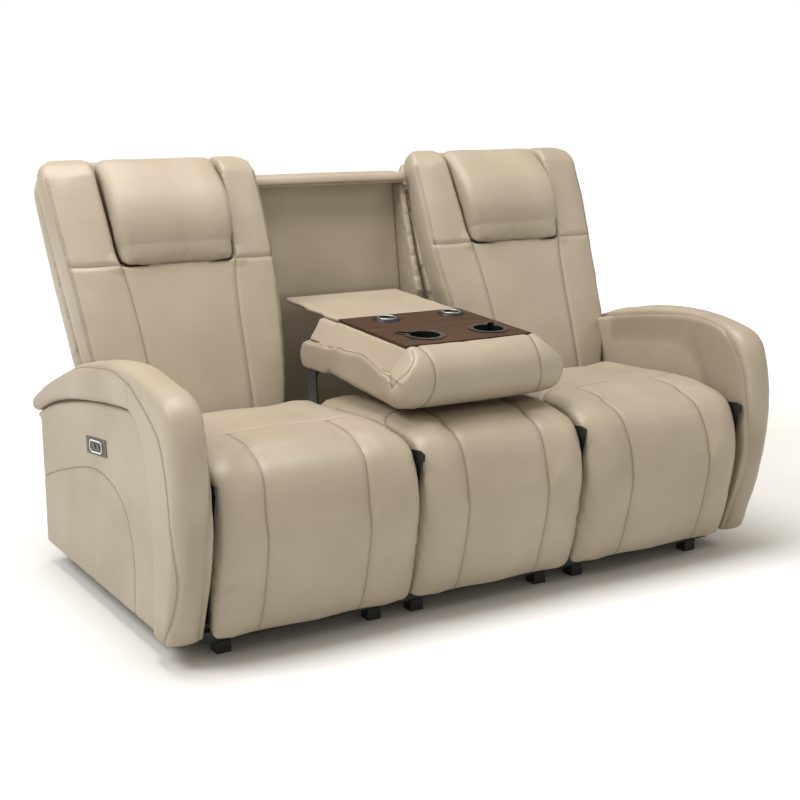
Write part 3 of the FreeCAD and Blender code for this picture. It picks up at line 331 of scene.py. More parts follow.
def woven(name, dark, light, pitch):
    """Strap webbing: crossing threads by two wave patterns."""
    material, tree, shader, place = start_material(name)
    across, along = (
        node_of(tree, "ShaderNodeTexWave", {"Vector": place, "Scale": pitch, "Distortion": 0.3},
                wave_type="BANDS", bands_direction=axis).outputs["Fac"] for axis in "XY")
    cloth = product(tree, across, along)
    feed(tree, shader, {
        "Base Color": colour_between(tree, cloth, dark, light),
        "Roughness": range_between(tree, cloth, 0.9, 0.75),
        "Normal": raised(tree, cloth, 0.0006, 0.6)})
    return material


# Material slot: name, light colour, dark colour, roughness, and what else differs
WORN = {
    "black_steel": ("Black painted steel", (0.018, 0.018, 0.018), (0.010, 0.010, 0.010),
                    (0.35, 0.5), {}),
    "bright_steel": ("Plated steel", (0.60, 0.60, 0.60), (0.48, 0.48, 0.48), (0.25, 0.4),
                     {"metallic": 1.0}),
    "aluminium": ("Cast aluminium", (0.66, 0.66, 0.67), (0.52, 0.52, 0.53), (0.35, 0.5),
                  {"metallic": 1.0}),
    "bronze": ("Dark bronze", (0.050, 0.030, 0.018), (0.030, 0.018, 0.011), (0.3, 0.45),
               {"metallic": 0.3, "scale": 120.0}),
    "chrome": ("Chrome", (0.82, 0.82, 0.83), (0.74, 0.74, 0.75), (0.06, 0.12),
               {"metallic": 1.0, "bump": 0.00002}),
    "black_plastic": ("Matt black plastic", (0.016, 0.016, 0.016), (0.010, 0.010, 0.010),
                      (0.5, 0.62), {"scale": 150.0}),
    "button_plastic": ("Button plastic", (0.020, 0.019, 0.018), (0.013, 0.013, 0.012),
                       (0.22, 0.32), {"scale": 150.0}),
    "cup_plastic": ("Cup holder plastic", (0.012, 0.013, 0.014), (0.008, 0.008, 0.009),
                    (0.22, 0.32), {"scale": 90.0, "coat": 0.2}),
    "charger_plastic": ("Charger plastic", (0.010, 0.010, 0.011), (0.007, 0.007, 0.008),
                        (0.42, 0.5), {"scale": 90.0}),
}
PAINTED_BLACK = ("console_hinge_brackets", "console_arms")
FINISH = {}


class SOFA_OT_finishes(bpy.types.Operator):
    """Makes the leather, thread, wood, metal and plastic finishes"""
    bl_idname = "sofa.finishes"
    bl_label = "Make Finishes"

    def execute(self, context):
        paint = colours()
        figure, wear = streak_group(), wear_group()
        FINISH["leather"] = leather("Beige leather", tuple(paint.hide), tuple(paint.hide_shade),
                                    grain_group())
        FINISH["thread"] = worn(wear, "Stitching thread", tuple(paint.thread),
                                tuple(part * 0.6 for part in paint.thread), (0.7, 0.8), 400.0)
        FINISH["dark_wood"] = wooden(figure, "Dark walnut", tuple(paint.walnut),
                                     tuple(paint.walnut_streak), (4.0, 55.0, 55.0),
                                     (0.5, 0.62), 0.02)
        FINISH["frame_wood"] = wooden(figure, "Raw hardwood", (0.33, 0.21, 0.11),
                                      (0.50, 0.36, 0.21), (4.0, 50.0, 50.0), (0.6, 0.75), 0.0)
        FINISH["webbing"] = woven("Strap webbing", (0.012, 0.012, 0.012), (0.05, 0.05, 0.05),
                                  160.0)
        for slot, (name, light, dark, rough, more) in WORN.items():
            FINISH[slot] = worn(wear, name, light, dark, rough, **more)
        slots = {part["node"]: part["material_slot"] for part in frame["record"]["subparts"]}
        for name, made in NODES.items():
            slot = "black_steel" if name in PAINTED_BLACK else slots[name]
            made.data.materials.clear()
            made.data.materials.append(FINISH[slot])
        return {"FINISHED"}


# Mesh tools

FILLING = {"quality": 4, "mass": 0.25, "tension_stiffness": 12, "compression_stiffness": 12,
           "shear_stiffness": 6, "bending_stiffness": 0.8, "use_pressure": True,
           "uniform_pressure_force": 4.0}
FILLING_FRAMES = 20
MERGE = 0.00002
LINE_STEP = 0.003
CURVE_PARTS = 24
HEM_HEIGHT, HEM_FADE = 0.062, 0.05
THREAD_MARK = 0.0024
# Reach and strength of the painted shade where one piece meets another
VALLEY_REACH, VALLEY_PAINTED_SHADE = 0.012, 0.8
# A stitch's four rings: place along it, thickness, depth under the surface
STITCH_RINGS = ((-0.5, 0.35, 0.5), (-0.3, 1.0, 0.0), (0.3, 1.0, 0.0), (0.5, 0.35, 0.5))


def add(name, data):
    """A new object in the scene."""
    made = bpy.data.objects.new(name, data)
    bpy.context.scene.collection.objects.link(made)
    return made


def only_none():
    """Leaves edit mode and selects nothing."""
    if bpy.context.object and bpy.context.object.mode != "OBJECT":
        bpy.ops.object.mode_set(mode="OBJECT")
    bpy.ops.object.select_all(action="DESELECT")


def only(*made):
    """Selects these objects alone and makes the first one active."""
    only_none()
    for each in made:
        each.select_set(True)
    bpy.context.view_layer.objects.active = made[0]


def apply_modifier(piece, kind, **settings):
    """Adds a modifier and applies it."""
    only(piece)
    modifier = piece.modifiers.new(kind.title(), kind)
    for name, value in settings.items():
        setattr(modifier, name, value)
    bpy.ops.object.modifier_apply(modifier=modifier.name)


def even_mesh(piece, width):
    """Gives the piece one closed skin of even squares."""
    apply_modifier(piece, "REMESH", mode="VOXEL", voxel_size=width)


def fix_normals(piece, merge=False):
    """Turns the faces outward, after merging double points where asked."""
    only(piece)
    bpy.ops.object.mode_set(mode="EDIT")
    bpy.ops.mesh.select_all(action="SELECT")
    if merge:
        bpy.ops.mesh.remove_doubles(threshold=MERGE)
    bpy.ops.mesh.normals_make_consistent(inside=False)
    bpy.ops.object.mode_set(mode="OBJECT")


def mesh_object(name, corners, faces):
    """A new object of these corners and faces, turned outward."""
    mesh = bpy.data.meshes.new(name)
    mesh.from_pydata(corners, [], faces)
    made = add(name, mesh)
    fix_normals(made)
    return made


def merged(piece, *others):
    """Joins the others to the piece."""
    only(piece, *others)
    if others:
        bpy.ops.object.join()
    return piece


def copy_of(name, *node_names):
    """A new piece with the shape of one or more solids, its doubles merged."""
    copies = []
    for node in node_names:
        made = add(name, NODES[node].data.copy())
        made.data.materials.clear()
        for layer in [each.name for each in made.data.color_attributes]:
            made.data.color_attributes.remove(made.data.color_attributes[layer])
        copies.append(made)
    piece = merged(*copies)
    piece.name = name
    fix_normals(piece, merge=True)
    return piece


def slab(name, line, low, high):
    """A flat plate from low to high x with the given outline of points."""
    count = len(line)
    corners = [(x, spot.y, spot.z) for x in (low, high) for spot in line]
    faces = [(i, (i + 1) % count, (i + 1) % count + count, i + count) for i in range(count)]
    faces += [tuple(range(count - 1, -1, -1)), tuple(range(count, 2 * count))]
    return mesh_object(name, corners, faces)


def relax(piece, factor, steps, keep=None):
    """Rounds the edges by smoothing. keep(point) gives 1 where the piece must stay put."""
    group = {}
    if keep:
        soft = piece.vertex_groups.new(name="soft")
        for vertex in piece.data.vertices:
            soft.add([vertex.index], 1.0 - keep(vertex.co), "REPLACE")
        group["vertex_group"] = "soft"
    apply_modifier(piece, "SMOOTH", factor=factor, iterations=steps, **group)


def puff_up(piece, cap, held=None):
    """Fills the piece like a cushion, and keeps each point within the cap."""
    if cap <= 0:
        return
    before = [vertex.co.copy() for vertex in piece.data.vertices]
    only(piece)
    cloth = piece.modifiers.new("Filling", "CLOTH")
    for name, value in FILLING.items():
        setattr(cloth.settings, name, value)
    cloth.settings.effector_weights.gravity = 0
    if held:
        pins = piece.vertex_groups.new(name="held")
        for vertex in piece.data.vertices:
            pins.add([vertex.index], held(vertex.co), "REPLACE")
        cloth.settings.vertex_group_mass = "held"
    cloth.point_cache.frame_start = 1
    cloth.point_cache.frame_end = FILLING_FRAMES
    scene = bpy.context.scene
    for step in range(1, FILLING_FRAMES + 1):
        scene.frame_set(step)
    graph = bpy.context.evaluated_depsgraph_get()
    moved = [vertex.co.copy() for vertex in piece.evaluated_get(graph).data.vertices]
    piece.modifiers.remove(cloth)
    scene.frame_set(1)
    for vertex, start, end in zip(piece.data.vertices, before, moved):
        shift = end - start
        if shift.length > cap:
            shift = shift.normalized() * cap
        vertex.co = start + shift
    piece.data.update()


def padding(name, node_names, voxel, rounding, puff, held=None, extras=()):
    """The common start of a padded piece: solid, even mesh, round edges, filling."""
    piece = merged(copy_of(name, *node_names), *extras)
    even_mesh(piece, voxel)
    relax(piece, 0.5, rounding)
    puff_up(piece, puff, held)
    apply_modifier(piece, "SUBSURF", levels=1, render_levels=1)
    return piece


def smooth_line(through, step=LINE_STEP):
    """Evenly spaced points on a smooth line through three or more."""
    ends = [through[0] * 2 - through[1], *through, through[-1] * 2 - through[-2]]
    dense = []
    for a, b, c, d in zip(ends, ends[1:], ends[2:], ends[3:]):
        for part in range(CURVE_PARTS):
            t = part / CURVE_PARTS
            dense.append(0.5 * ((2 * b) + (c - a) * t + (2 * a - 5 * b + 4 * c - d) * t * t +
                                (3 * b - a - 3 * c + d) * t ** 3))
    dense.append(through[-1])
    line, carried = [dense[0]], 0.0
    for a, b in zip(dense, dense[1:]):
        run = (b - a).length
        while run > 1e-9 and carried + run >= step:
            a = a + (b - a).normalized() * (step - carried)
            line.append(a.copy())
            run = (b - a).length
            carried = 0.0
        carried += run
    return line


def surface_of(piece):
    """A search tree of the piece's faces."""
    return BVHTree.FromPolygons([v.co for v in piece.data.vertices],
                                [tuple(p.vertices) for p in piece.data.polygons])


def seam_and_painted_shade_marks(mesh):
    """The attribute that darkens the leather in its seams and holds its painted valley shade,
    and its values so far.
    """
    mark = mesh.attributes.get("seam") or mesh.attributes.new("seam", "FLOAT", "POINT")
    return mark, [item.value for item in mark.data]


def sew(piece, lines, depth=None, width=None, rows=(0.0,)):
    """Pulls seams into the piece and lays a row of stitches at each offset."""
    depth = sizes().seam_depth if depth is None else depth
    width = sizes().seam_width if width is None else width
    tree = surface_of(piece)
    laid = [[tree.find_nearest(point)[:2] for point in smooth_line(line)] for line in lines]
    spots = [spot for line in laid for spot, normal in line]
    finder = KDTree(len(spots))
    for index, spot in enumerate(spots):
        finder.insert(spot, index)
    finder.balance()
    mesh = piece.data
    mark, values = seam_and_painted_shade_marks(mesh)
    normals = [vertex.normal.copy() for vertex in mesh.vertices]
    for vertex, normal in zip(mesh.vertices, normals):
        distance = finder.find(vertex.co)[2]
        if distance < 3 * width:
            fade = ramp(vertex.co.z, HEM_HEIGHT, HEM_FADE)
            vertex.co -= normal * depth * math.exp(-(distance / width) ** 2 * 1.4) * fade
            near = math.exp(-(distance / THREAD_MARK) ** 2)
            values[vertex.index] = max(values[vertex.index], near)
    mark.data.foreach_set("value", values)
    mesh.update()
    return stitches(piece.name + "_stitching", surface_of(piece), laid, rows)


def paint_valley_shade(piece, other):
    """Paints shade into the valley where a piece meets another one, so that it looks deeper."""
    tree = surface_of(other)
    mark, values = seam_and_painted_shade_marks(piece.data)
    for vertex in piece.data.vertices:
        spot, normal, index, distance = tree.find_nearest(vertex.co, VALLEY_REACH)
        if spot is not None:
            shade = VALLEY_PAINTED_SHADE * (1 - distance / VALLEY_REACH)
            values[vertex.index] = max(values[vertex.index], shade)
    mark.data.foreach_set("value", values)


def spots_along(line, pitch):
    """Evenly spaced spots on a laid line, with the direction there."""
    spots, run = [], 0.0
    for (a, normal_a), (b, normal_b) in zip(line, line[1:]):
        step = (b - a).length
        if step < 1e-7:
            continue
        while run <= step:
            spots.append((a.lerp(b, run / step), (b - a).normalized()))
            run += pitch
        run -= step
    return spots


def stitches(name, tree, laid, rows):
    """Short threads in rows beside a seam, lying on the surface."""
    pitch, reach, thick = sizes().stitch_pitch, sizes().stitch_length, sizes().thread
    corners, faces = [], []
    for line in laid:
        spots = spots_along(line, pitch)
        for offset, (spot, along) in ((row, each) for row in rows for each in spots):
            side = tree.find_nearest(spot)[1].cross(along).normalized()
            near, normal = tree.find_nearest(spot + side * offset)[:2]
            along = (along - normal * along.dot(normal)).normalized()
            side = normal.cross(along)
            base = len(corners)
            for place, scale, sink in STITCH_RINGS:
                middle = near + along * place * reach + normal * thick * (0.15 - sink)
                for turn in (math.radians(45 + 90 * corner) for corner in range(4)):
                    corners.append(middle + (side * math.cos(turn) +
                                             normal * math.sin(turn) * 0.8) *
                                   thick * 0.5 * scale)
            for ring in range(3):
                for corner in range(4):
                    a = base + ring * 4 + corner
                    b = base + ring * 4 + (corner + 1) % 4
                    faces.append((a, b, b + 4, a + 4))
            faces.append(tuple(base + i for i in range(3, -1, -1)))
            faces.append(tuple(base + 12 + i for i in range(4)))
    return finish_piece(mesh_object(name, corners, faces), FINISH["thread"])


def finish_piece(piece, material):
    """Gives the piece its material and smooth shading."""
    piece.data.materials.clear()
    piece.data.materials.append(material)
    only(piece)
    bpy.ops.object.shade_smooth()
    piece.vertex_groups.clear()
    return piece


def fit(piece, extras, bodies, node_names, fold=()):
    """Finishes a leather piece, hides the solids it stands in for and, without fold, lets it
    move with its body.
    With fold given, the pieces are only baked in place and move with no body; the points in fold
    are not used."""
    finish_piece(piece, FINISH["leather"])
    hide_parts(*node_names)
    for each in [piece, *extras]:
        if fold:
            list(bodies)
            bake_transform(each)
        else:
            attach(each, *bodies)


def mirrored(piece, name):
    """The same piece on the other side of the sofa."""
    made = add(name, piece.data.copy())
    made.data.transform(MIRROR)
    made.data.flip_normals()
    return made


def pair(piece, extras, bodies, node_names, fold=()):
    """Fits a right-hand piece with its stitching, and its mirrored left-hand twin."""
    for side in ("right", "left"):
        if side == "left":
            piece, *extras = (mirrored(each, each.name.replace("right_", "left_"))
                              for each in (piece, *extras))
        bodies_here, nodes_here = ([name.replace("SIDE", side) for name in names]
                                   for names in (bodies, node_names))
        fit(piece, extras, bodies_here, nodes_here, fold)


def reshape(piece, moved):
    """Puts every point of the piece where moved(point) says."""
    for vertex in piece.data.vertices:
        vertex.co = moved(vertex.co.copy())
    piece.data.update()


# Arms

ARM_OUTER_SEAM = points(
    (868, 480, 492), (869, 300, 562), (870, 194, 591), (870, 92, 613), (870, -40, 633),
    (870, -175, 642), (870, -298, 617), (870, -411, 558), (870, -451, 500), (870, -472, 415),
    (870, -483, 282), (870, -475, 188), (870, -405, 60))
ARM_INNER_SEAM = points(
    (793, -429, 62), (794, -443, 100), (796, -461, 150), (797, -479, 200), (798, -493, 250),
    (799, -503, 300), (800, -507, 350), (802, -501, 430), (803, -490, 500), (804, -473, 550),
    (805, -438, 600), (806, -369, 640), (806, -240, 650), (806, -73, 632), (806, 80, 606))
ARM_ARCH_SEAM = points(
    (862, 479, 243), (862, 328, 295), (862, 122, 351), (862, 10, 362), (862, -93, 344),
    (862, -167, 288), (862, -196, 198), (862, -191, 96), (862, -191, 58))
# The rest of the liner's outline behind the inner seam; only y and z count
LINER_REAR = points((0, 300, 560), (0, 440, 500), (0, 488, 452), (0, 492, 425), (0, 474, 410),
                    (0, 474, 62))
LINER_STEP = 0.012
LINER_SIDES = (0.7905, 0.850)
ARM_FOOT = 0.07
ARM_CREST = 0.010
PANEL_GROWTH, PANEL_VOXEL = 0.0024, 0.005


def stands_on_foot(point):
    """1 at the arm's foot, which stays flat, and 0 above."""
    return 1.0 if point.z < ARM_FOOT else 0.0


def crested(point):
    """Raises the rear of the arm's top, so that it runs on without a step."""
    rear = ramp(point.y, 0.02, 0.10) * ramp(point.y, 0.50, -0.1)
    high = ramp(point.z + 0.25 * point.y, 0.57, 0.04)
    point.z += ARM_CREST * rear * high
    return point


class SOFA_OT_arms(bpy.types.Operator):
    """Makes the padded arms and their side panels"""
    bl_idname = "sofa.arms"
    bl_label = "Make Arms"

    def execute(self, context):
        pad = padding("right_arm_cushion", ["right_arm_pad"], sizes().trim_voxel, 6,
                      sizes().puff * 0.6, held=stands_on_foot)
        reshape(pad, crested)
        trim = sew(pad, [ARM_OUTER_SEAM, ARM_INNER_SEAM], 0.0025, 0.008, rows=(0.003,))
        panel = copy_of("right_arm_side", "right_arm_panel")
        apply_modifier(panel, "DISPLACE", strength=PANEL_GROWTH, mid_level=0)
        merged(panel, slab("arm_liner", smooth_line(ARM_INNER_SEAM, LINER_STEP) + LINER_REAR,
                           *LINER_SIDES))
        even_mesh(panel, PANEL_VOXEL)
        relax(panel, 0.5, 4)
        arch_trim = sew(panel, [ARM_ARCH_SEAM], 0.002, 0.007)
        # Painted shade in the groove between the arm's pad and its side panel
        paint_valley_shade(pad, panel)
        paint_valley_shade(panel, pad)
        pair(pad, [trim], ["frame"], ["SIDE_arm_pad"])
        pair(panel, [arch_trim], ["frame"], ["SIDE_arm_panel"])
        return {"FINISHED"}


# Seats

# Height and depth of the seams that run over a seat's nose and down its front
NOSE_SEAM = ((-264, 496), (-320, 494), (-400, 484), (-450, 462), (-487, 425), (-505, 360),
             (-507, 300), (-495, 200), (-470, 110), (-448, 60))
OUTER_CROSS_SEAM = points((254, -300, 470), (275, -275, 484), (330, -266, 491),
                          (520, -264, 495), (700, -266, 491), (750, -275, 484),
                          (770, -300, 470))
CENTRE_CROSS_SEAM = points((-236, -300, 470), (-215, -275, 484), (-120, -265, 492),
                           (0, -264, 494), (120, -265, 492), (215, -275, 484),
                           (236, -300, 470))
# Points on the seat's nose, where the frame ends and the footrest begins
SEAT_FOLD = ((0, -0.462, 0.455), (0, -0.488, 0.395))
BOARD_TOP, BOARD_FRONT, SEAT_HEM = 0.345, -0.43, 0.06
NOSE_GROWTH = 0.0045


def nose_seam(across):
    """A seam over the nose from its distances across, in millimetres."""
    return points(*((x, y, z) for x, (y, z) in zip(across, NOSE_SEAM)))


def widened(middle, half, side):
    """Presses a seat against its neighbours and lets its nose stand proud of the hinges."""
    def moved(point):
        point.x += side * ((point.x - middle) / half)
        if point.y < -0.40 and point.z > 0.20:
            point.y -= (NOSE_GROWTH * min(1, (-0.40 - point.y) / 0.05) *
                        min(1, (point.z - 0.20) / 0.1))
        return point
    return moved


def rests_inside(point):
    """1 where a seat lies on its board and straps, 0 elsewhere."""
    low = point.z < BOARD_TOP and point.y > BOARD_FRONT
    return 1.0 if low or point.z < SEAT_HEM else 0.0


class SOFA_OT_seats(bpy.types.Operator):
    """Makes the outer seats, whose leather runs on over the footrest, and the centre seat"""
    bl_idname = "sofa.seats"
    bl_label = "Make Seats"

    def execute(self, context):
        seat = padding("right_seat", ["right_seat_cushion", "right_footrest_pad"],
                       sizes().seat_voxel, 4, sizes().puff, held=rests_inside)
        reshape(seat, widened(0.512, 0.260, 0.005))
        down = [nose_seam([top, top, top + 1, top + 4, top + 8] + 5 * [foot])
                for foot, top in ((395, 382), (661, 646))]
        trim = sew(seat, down + [OUTER_CROSS_SEAM])
        pair(seat, [trim], ["frame", "SIDE_footrest"],
             ["SIDE_seat_cushion", "SIDE_footrest_pad"], fold=SEAT_FOLD)

        seat = padding("centre_seat", ["centre_seat_cushion"], sizes().seat_voxel, 4,
                       sizes().puff, held=rests_inside)
        reshape(seat, widened(0.0, 0.238, 0.0055))
        down = [nose_seam(len(NOSE_SEAM) * [x]) for x in (-120, 120)]
        trim = sew(seat, down + [CENTRE_CROSS_SEAM])
        fit(seat, [trim], ["frame"], ["centre_seat_cushion"])
        return {"FINISHED"}


# Backs: a frame that leans, with its own up and through directions in millimetres

LEAN = math.radians(23.3)
BACK_FOOT = Vector((0, 74, 447)) * MM
WING_FOOT, WING_TOP = 421, 721
HEADREST_SIDES = (384, 704)
BACK_SEAM = ((0, 426), (8, 370), (15, 300), (20, 220), (24, 130))
BACK_SEAM_FEET = (((28, 20), (30, -20)), ((30, 20), (32, -20)))
# Each rim: distance across at the foot, the middle, the wing, its shoulder and its top
RIMS = ((311, 288, 262, 262, 262), (772, 817, 836, 848, 856))
ROD_ENDS, ROD_UP, ROD_COVER, ROD_REACH = (376, 712), 430, 7, 32
SHELL_VOXEL = 0.007
SHELL_EDGE, SHELL_TOP, SHELL_RIM, SHELL_REAR = 60, 715, 132, 140
RIM_FORWARD, REAR_BULGE = 20, 30
HEADREST_MIDDLE, HEADREST_HALF, HEADREST_SPREAD = 544, 100, 7
HEADREST_DROP = (-13, -8)


def back_point(x, up, through):
    """A point on the leaning back from millimetres across, up and through it."""
    y = BACK_FOOT.y + (up * math.sin(LEAN) + through * math.cos(LEAN)) * MM
    z = BACK_FOOT.z + (up * math.cos(LEAN) - through * math.sin(LEAN)) * MM
    return Vector((x * MM, y, z))


def back_place(point):
    """Millimetres up and through the leaning back."""
    spot = (point - BACK_FOOT) / MM
    return (spot.y * math.sin(LEAN) + spot.z * math.cos(LEAN),
            spot.y * math.cos(LEAN) - spot.z * math.sin(LEAN))


def back_move(up, through):
    """A move by millimetres up and through the leaning back."""
    return back_point(0, up, through) - back_point(0, 0, 0)


def flared(inner=-5.0, outer=8.0, outer_top=22.0, rest=18.0):
    """Widens a back towards its square shoulders, and the headrest's place with it."""
    def moved(point):
        up, through = back_place(point)
        share = ramp(up, WING_FOOT, WING_TOP - WING_FOOT)
        front = ramp(through, 80, -30)
        knots = ((259, inner * front), (390, -rest * share), (699, rest * share),
                 (836, outer + outer_top * share))
        point.x += between(knots, point.x / MM) * MM
        return point
    return moved


def over_rod(point):
    """Covers the ends of the headrest's rod with the wings."""
    up, through = back_place(point)
    x = point.x / MM
    far = min(((x - end) ** 2 + (up - ROD_UP) ** 2) ** 0.5 for end in ROD_ENDS)
    if through < 60 and far < ROD_REACH:
        point += back_move(0, -ROD_COVER) * (1 - far / ROD_REACH)
    return point


def filled_shell(point):
    """Brings the shell's rim up to the cushion and rounds its rear out."""
    up, through = back_place(point)
    if up < 0:
        return point
    share = ramp(up, 0, SHELL_EDGE) * ramp(up, SHELL_TOP, -SHELL_EDGE)
    if through < SHELL_RIM:
        point += back_move(0, -RIM_FORWARD * share)
    elif through > SHELL_REAR:
        point += back_move(0, REAR_BULGE * share * (1 - 0.55 * ramp(up, 250, 450)))
    return point


def hanging(point):
    """Lets the headrest's lower front edge hang over its rod."""
    up, through = back_place(point)
    share = ramp(up, 470, -40) * ramp(through, 30, -30)
    point += back_move(*HEADREST_DROP) * share
    side = max(-1, min(1, (point.x / MM - HEADREST_MIDDLE) / HEADREST_HALF))
    point.x += HEADREST_SPREAD * side * share * MM
    return point


class SOFA_OT_backs(bpy.types.Operator):
    """Makes the reclining backs, their rear shells and the headrests"""
    bl_idname = "sofa.backs"
    bl_label = "Make Backs"

    def execute(self, context):
        back = padding("right_back", ["right_back_cushion"], sizes().seat_voxel, 4,
                       sizes().puff * 0.7)
        reshape(back, flared())
        reshape(back, over_rod)
        left, right = HEADREST_SIDES
        seams = [[back_point(start + turn * x, up, -4) for x, up in BACK_SEAM + foot]
                 for start, turn, foot in zip(HEADREST_SIDES, (1, -1), BACK_SEAM_FEET)]
        seams.append([back_point(262, 432, 10), back_point(300, 427, -3),
                      back_point(left, 426, -4)])
        seams.append([back_point(right, 426, -4), back_point(790, 428, -3),
                      back_point(834, 433, 8)])
        trim = sew(back, seams, 0.004, 0.009)
        rims = [[back_point(foot, 0, 14), back_point(middle, 166, 12),
                 back_point((middle + wing) / 2, 290, 11), back_point(wing, 421, 10),
                 back_point(shoulder, 560, 11), back_point(top, 680, 16)]
                for foot, middle, wing, shoulder, top in RIMS]
        rim_trim = sew(back, rims, 0.002, 0.007, rows=(-0.0035, 0.0035))
        rim_trim.name = "right_back_rim_stitching"
        pair(back, [trim, rim_trim], ["SIDE_back"], ["SIDE_back_cushion"])

        shell = copy_of("right_shell", "right_back_shell")
        even_mesh(shell, SHELL_VOXEL)
        reshape(shell, filled_shell)
        relax(shell, 0.5, 6)
        reshape(shell, flared(inner=0.0))
        pair(shell, [], ["SIDE_back"], ["SIDE_back_shell"])

        rest = padding("right_headrest", ["right_headrest_pad"], sizes().trim_voxel, 4,
                       sizes().puff * 0.8)
        reshape(rest, flared())
        reshape(rest, hanging)
        pair(rest, [], ["SIDE_headrest"], ["SIDE_headrest_pad"])
        return {"FINISHED"}


# Centre back

RECLINE_PIVOT = Vector((0, 153.13, 347.59)) * MM
# The backs' inner edge: height along the lean, and distance from the middle
BACK_INNER = ((0, 311), (53, 303), (143, 287), (273, 267), (353, 262), (421, 260))
RAIL_SEAM = points((-236, 391, 1014), (-120, 389, 1014), (0, 388, 1014), (120, 389, 1014),
                   (236, 391, 1014))
CENTRE_PANEL_VOXEL, RAIL_VOXEL, POST_VOXEL = 0.006, 0.0045, 0.005
PANEL_RAISE = 0.014
POST_SIDE, POST_SPREAD, POST_GAP = 252, 45, 4
SHALLOW_FOLD, FINE_FOLD = 1.6, 0.9


def raised_panel(point):
    """Carries the panel's top up behind the rail."""
    point.z += PANEL_RAISE * ramp(point.z, 0.96, 0.03)
    return point


def gathered(point):
    """Fills the posts out to the backs' swing, and gathers the leather in folds."""
    share = max(0, (abs(point.x) / MM - 238) / 14)
    reach = (point - RECLINE_PIVOT).yz.length / MM - 75
    room = max(0, min(POST_SPREAD, between(BACK_INNER, reach) - POST_GAP - POST_SIDE))
    spread = room * share * ramp(point.z, 0.55, 0.1)
    fold = SHALLOW_FOLD * math.sin(point.z * 95 + point.y * 60) * (1 - min(1, share))
    fold += FINE_FOLD * math.sin(point.z * 213 + 1.3)
    point.x += math.copysign((spread + 0.4 * fold) * MM, point.x)
    point.y += 0.8 * fold * MM
    return point


class SOFA_OT_centre_back(bpy.types.Operator):
    """Makes the recessed panel, its top rail and side posts"""
    bl_idname = "sofa.centre_back"
    bl_label = "Make Centre Back"

    def execute(self, context):
        panel = copy_of("centre_panel", "centre_back_panel")
        even_mesh(panel, CENTRE_PANEL_VOXEL)
        relax(panel, 0.5, 3)
        reshape(panel, raised_panel)
        fit(panel, [], ["frame"], ["centre_back_panel"])

        rail = padding("centre_rail", ["centre_back_rail"], RAIL_VOXEL, 4, 0.0)
        trim = sew(rail, [RAIL_SEAM], 0.002, 0.006, rows=(0.003,))
        fit(rail, [trim], ["frame"], ["centre_back_rail"])

        posts = copy_of("centre_posts", "centre_back_posts")
        even_mesh(posts, POST_VOXEL)
        relax(posts, 0.5, 4)
        reshape(posts, gathered)
        fit(posts, [], ["frame"], ["centre_back_posts"])
        return {"FINISHED"}


# Console: millimetres along and up from its hinge, tilted with its top

CONSOLE_TILT = math.radians(3.24)
CONSOLE_PIVOT = Vector((0, 96, 538)) * MM
CHEEK = ((-80, 8), (20, 0), (48, 6), (62, 24), (64, 46), (54, 68), (34, 80), (-80, 82))
CHEEK_SIDES, CHEEK_THICK = (-0.241, 0.2325), 0.0085
FILLER = ((-385, 35), (-385, 84), (-425, 80), (-450, 74), (-474, 60), (-474, 35))
FILLER_SIDES, FILLER_THICK = (-0.238, 0.200), 0.038
SIDE_SEAM = ((26, 82), (-60, 90), (-142, 98), (-210, 106), (-268, 107), (-320, 99), (-359, 89),
             (-400, 82), (-427, 76), (-446, 60))
CORNER_SEAM = ((-446, 60), (-470, 84), (-478, 110), (-466, 134), (-440, 150))
# Across, along and up
FRONT_SEAM = ((168, -424, 152), (160, -470, 138), (158, -500, 110), (160, -508, 75),
              (166, -490, 35), (172, -450, 12))
CONSOLE_SIDE = 236
FRONT_WIDENING, ROLL_LIFT, FRONT_DROP = 0.060, 26, 9
CORNER_TOP, CORNER_FALL, CORNER_SIDE, TRAY_MARGIN = 157, 1.45, 190, 7
TRAY_VOXEL, FLAP_VOXEL = 0.0045, 0.006
RINGS = (("left_charger_ring", -75), ("right_charger_ring", 129))
RING_ALONG, RING_UP = -126, 158.4
RING_RADIUS, RING_THICK = 0.0245, 0.0016


def console_point(x, along, up):
    """A point of the console from millimetres across, along and up from its hinge."""
    y = CONSOLE_PIVOT.y + (along * math.cos(CONSOLE_TILT) - up * math.sin(CONSOLE_TILT)) * MM
    z = CONSOLE_PIVOT.z + (along * math.sin(CONSOLE_TILT) + up * math.cos(CONSOLE_TILT)) * MM
    return Vector((x * MM, y, z))


def console_place(point):
    """Millimetres along and up from the console's hinge."""
    spot = (point - CONSOLE_PIVOT) / MM
    along = spot.y * math.cos(CONSOLE_TILT) + spot.z * math.sin(CONSOLE_TILT)
    up = spot.z * math.cos(CONSOLE_TILT) - spot.y * math.sin(CONSOLE_TILT)
    return along, up


def console_slabs(name, outline, sides, thick):
    """The same plate at both sides of the console."""
    line = [console_point(0, along, up) for along, up in outline]
    return [slab(name, line, side, side + thick) for side in sides]


def away_from_corners(point):
    """1 away from the console's two upper front corners, 0 at them."""
    along, up = console_place(point)
    near = ramp(along, -355, -45) * ramp(abs(point.x) / MM, 172, 22)
    return 1 - near * ramp(up, 20, 25)


def lowered_corners(margin):
    """Slopes the two upper front corners down to the valley of the side seam."""
    def moved(point):
        along, up = console_place(point)
        side = abs(point.x) / MM
        ceiling = CORNER_TOP - CORNER_FALL * (side - CORNER_SIDE) - margin
        if side > CORNER_SIDE - 2 and up > ceiling:
            point.z -= 0.9 * (up - ceiling) * ease(ramp(along, -335, -75)) * MM
        return point
    return moved


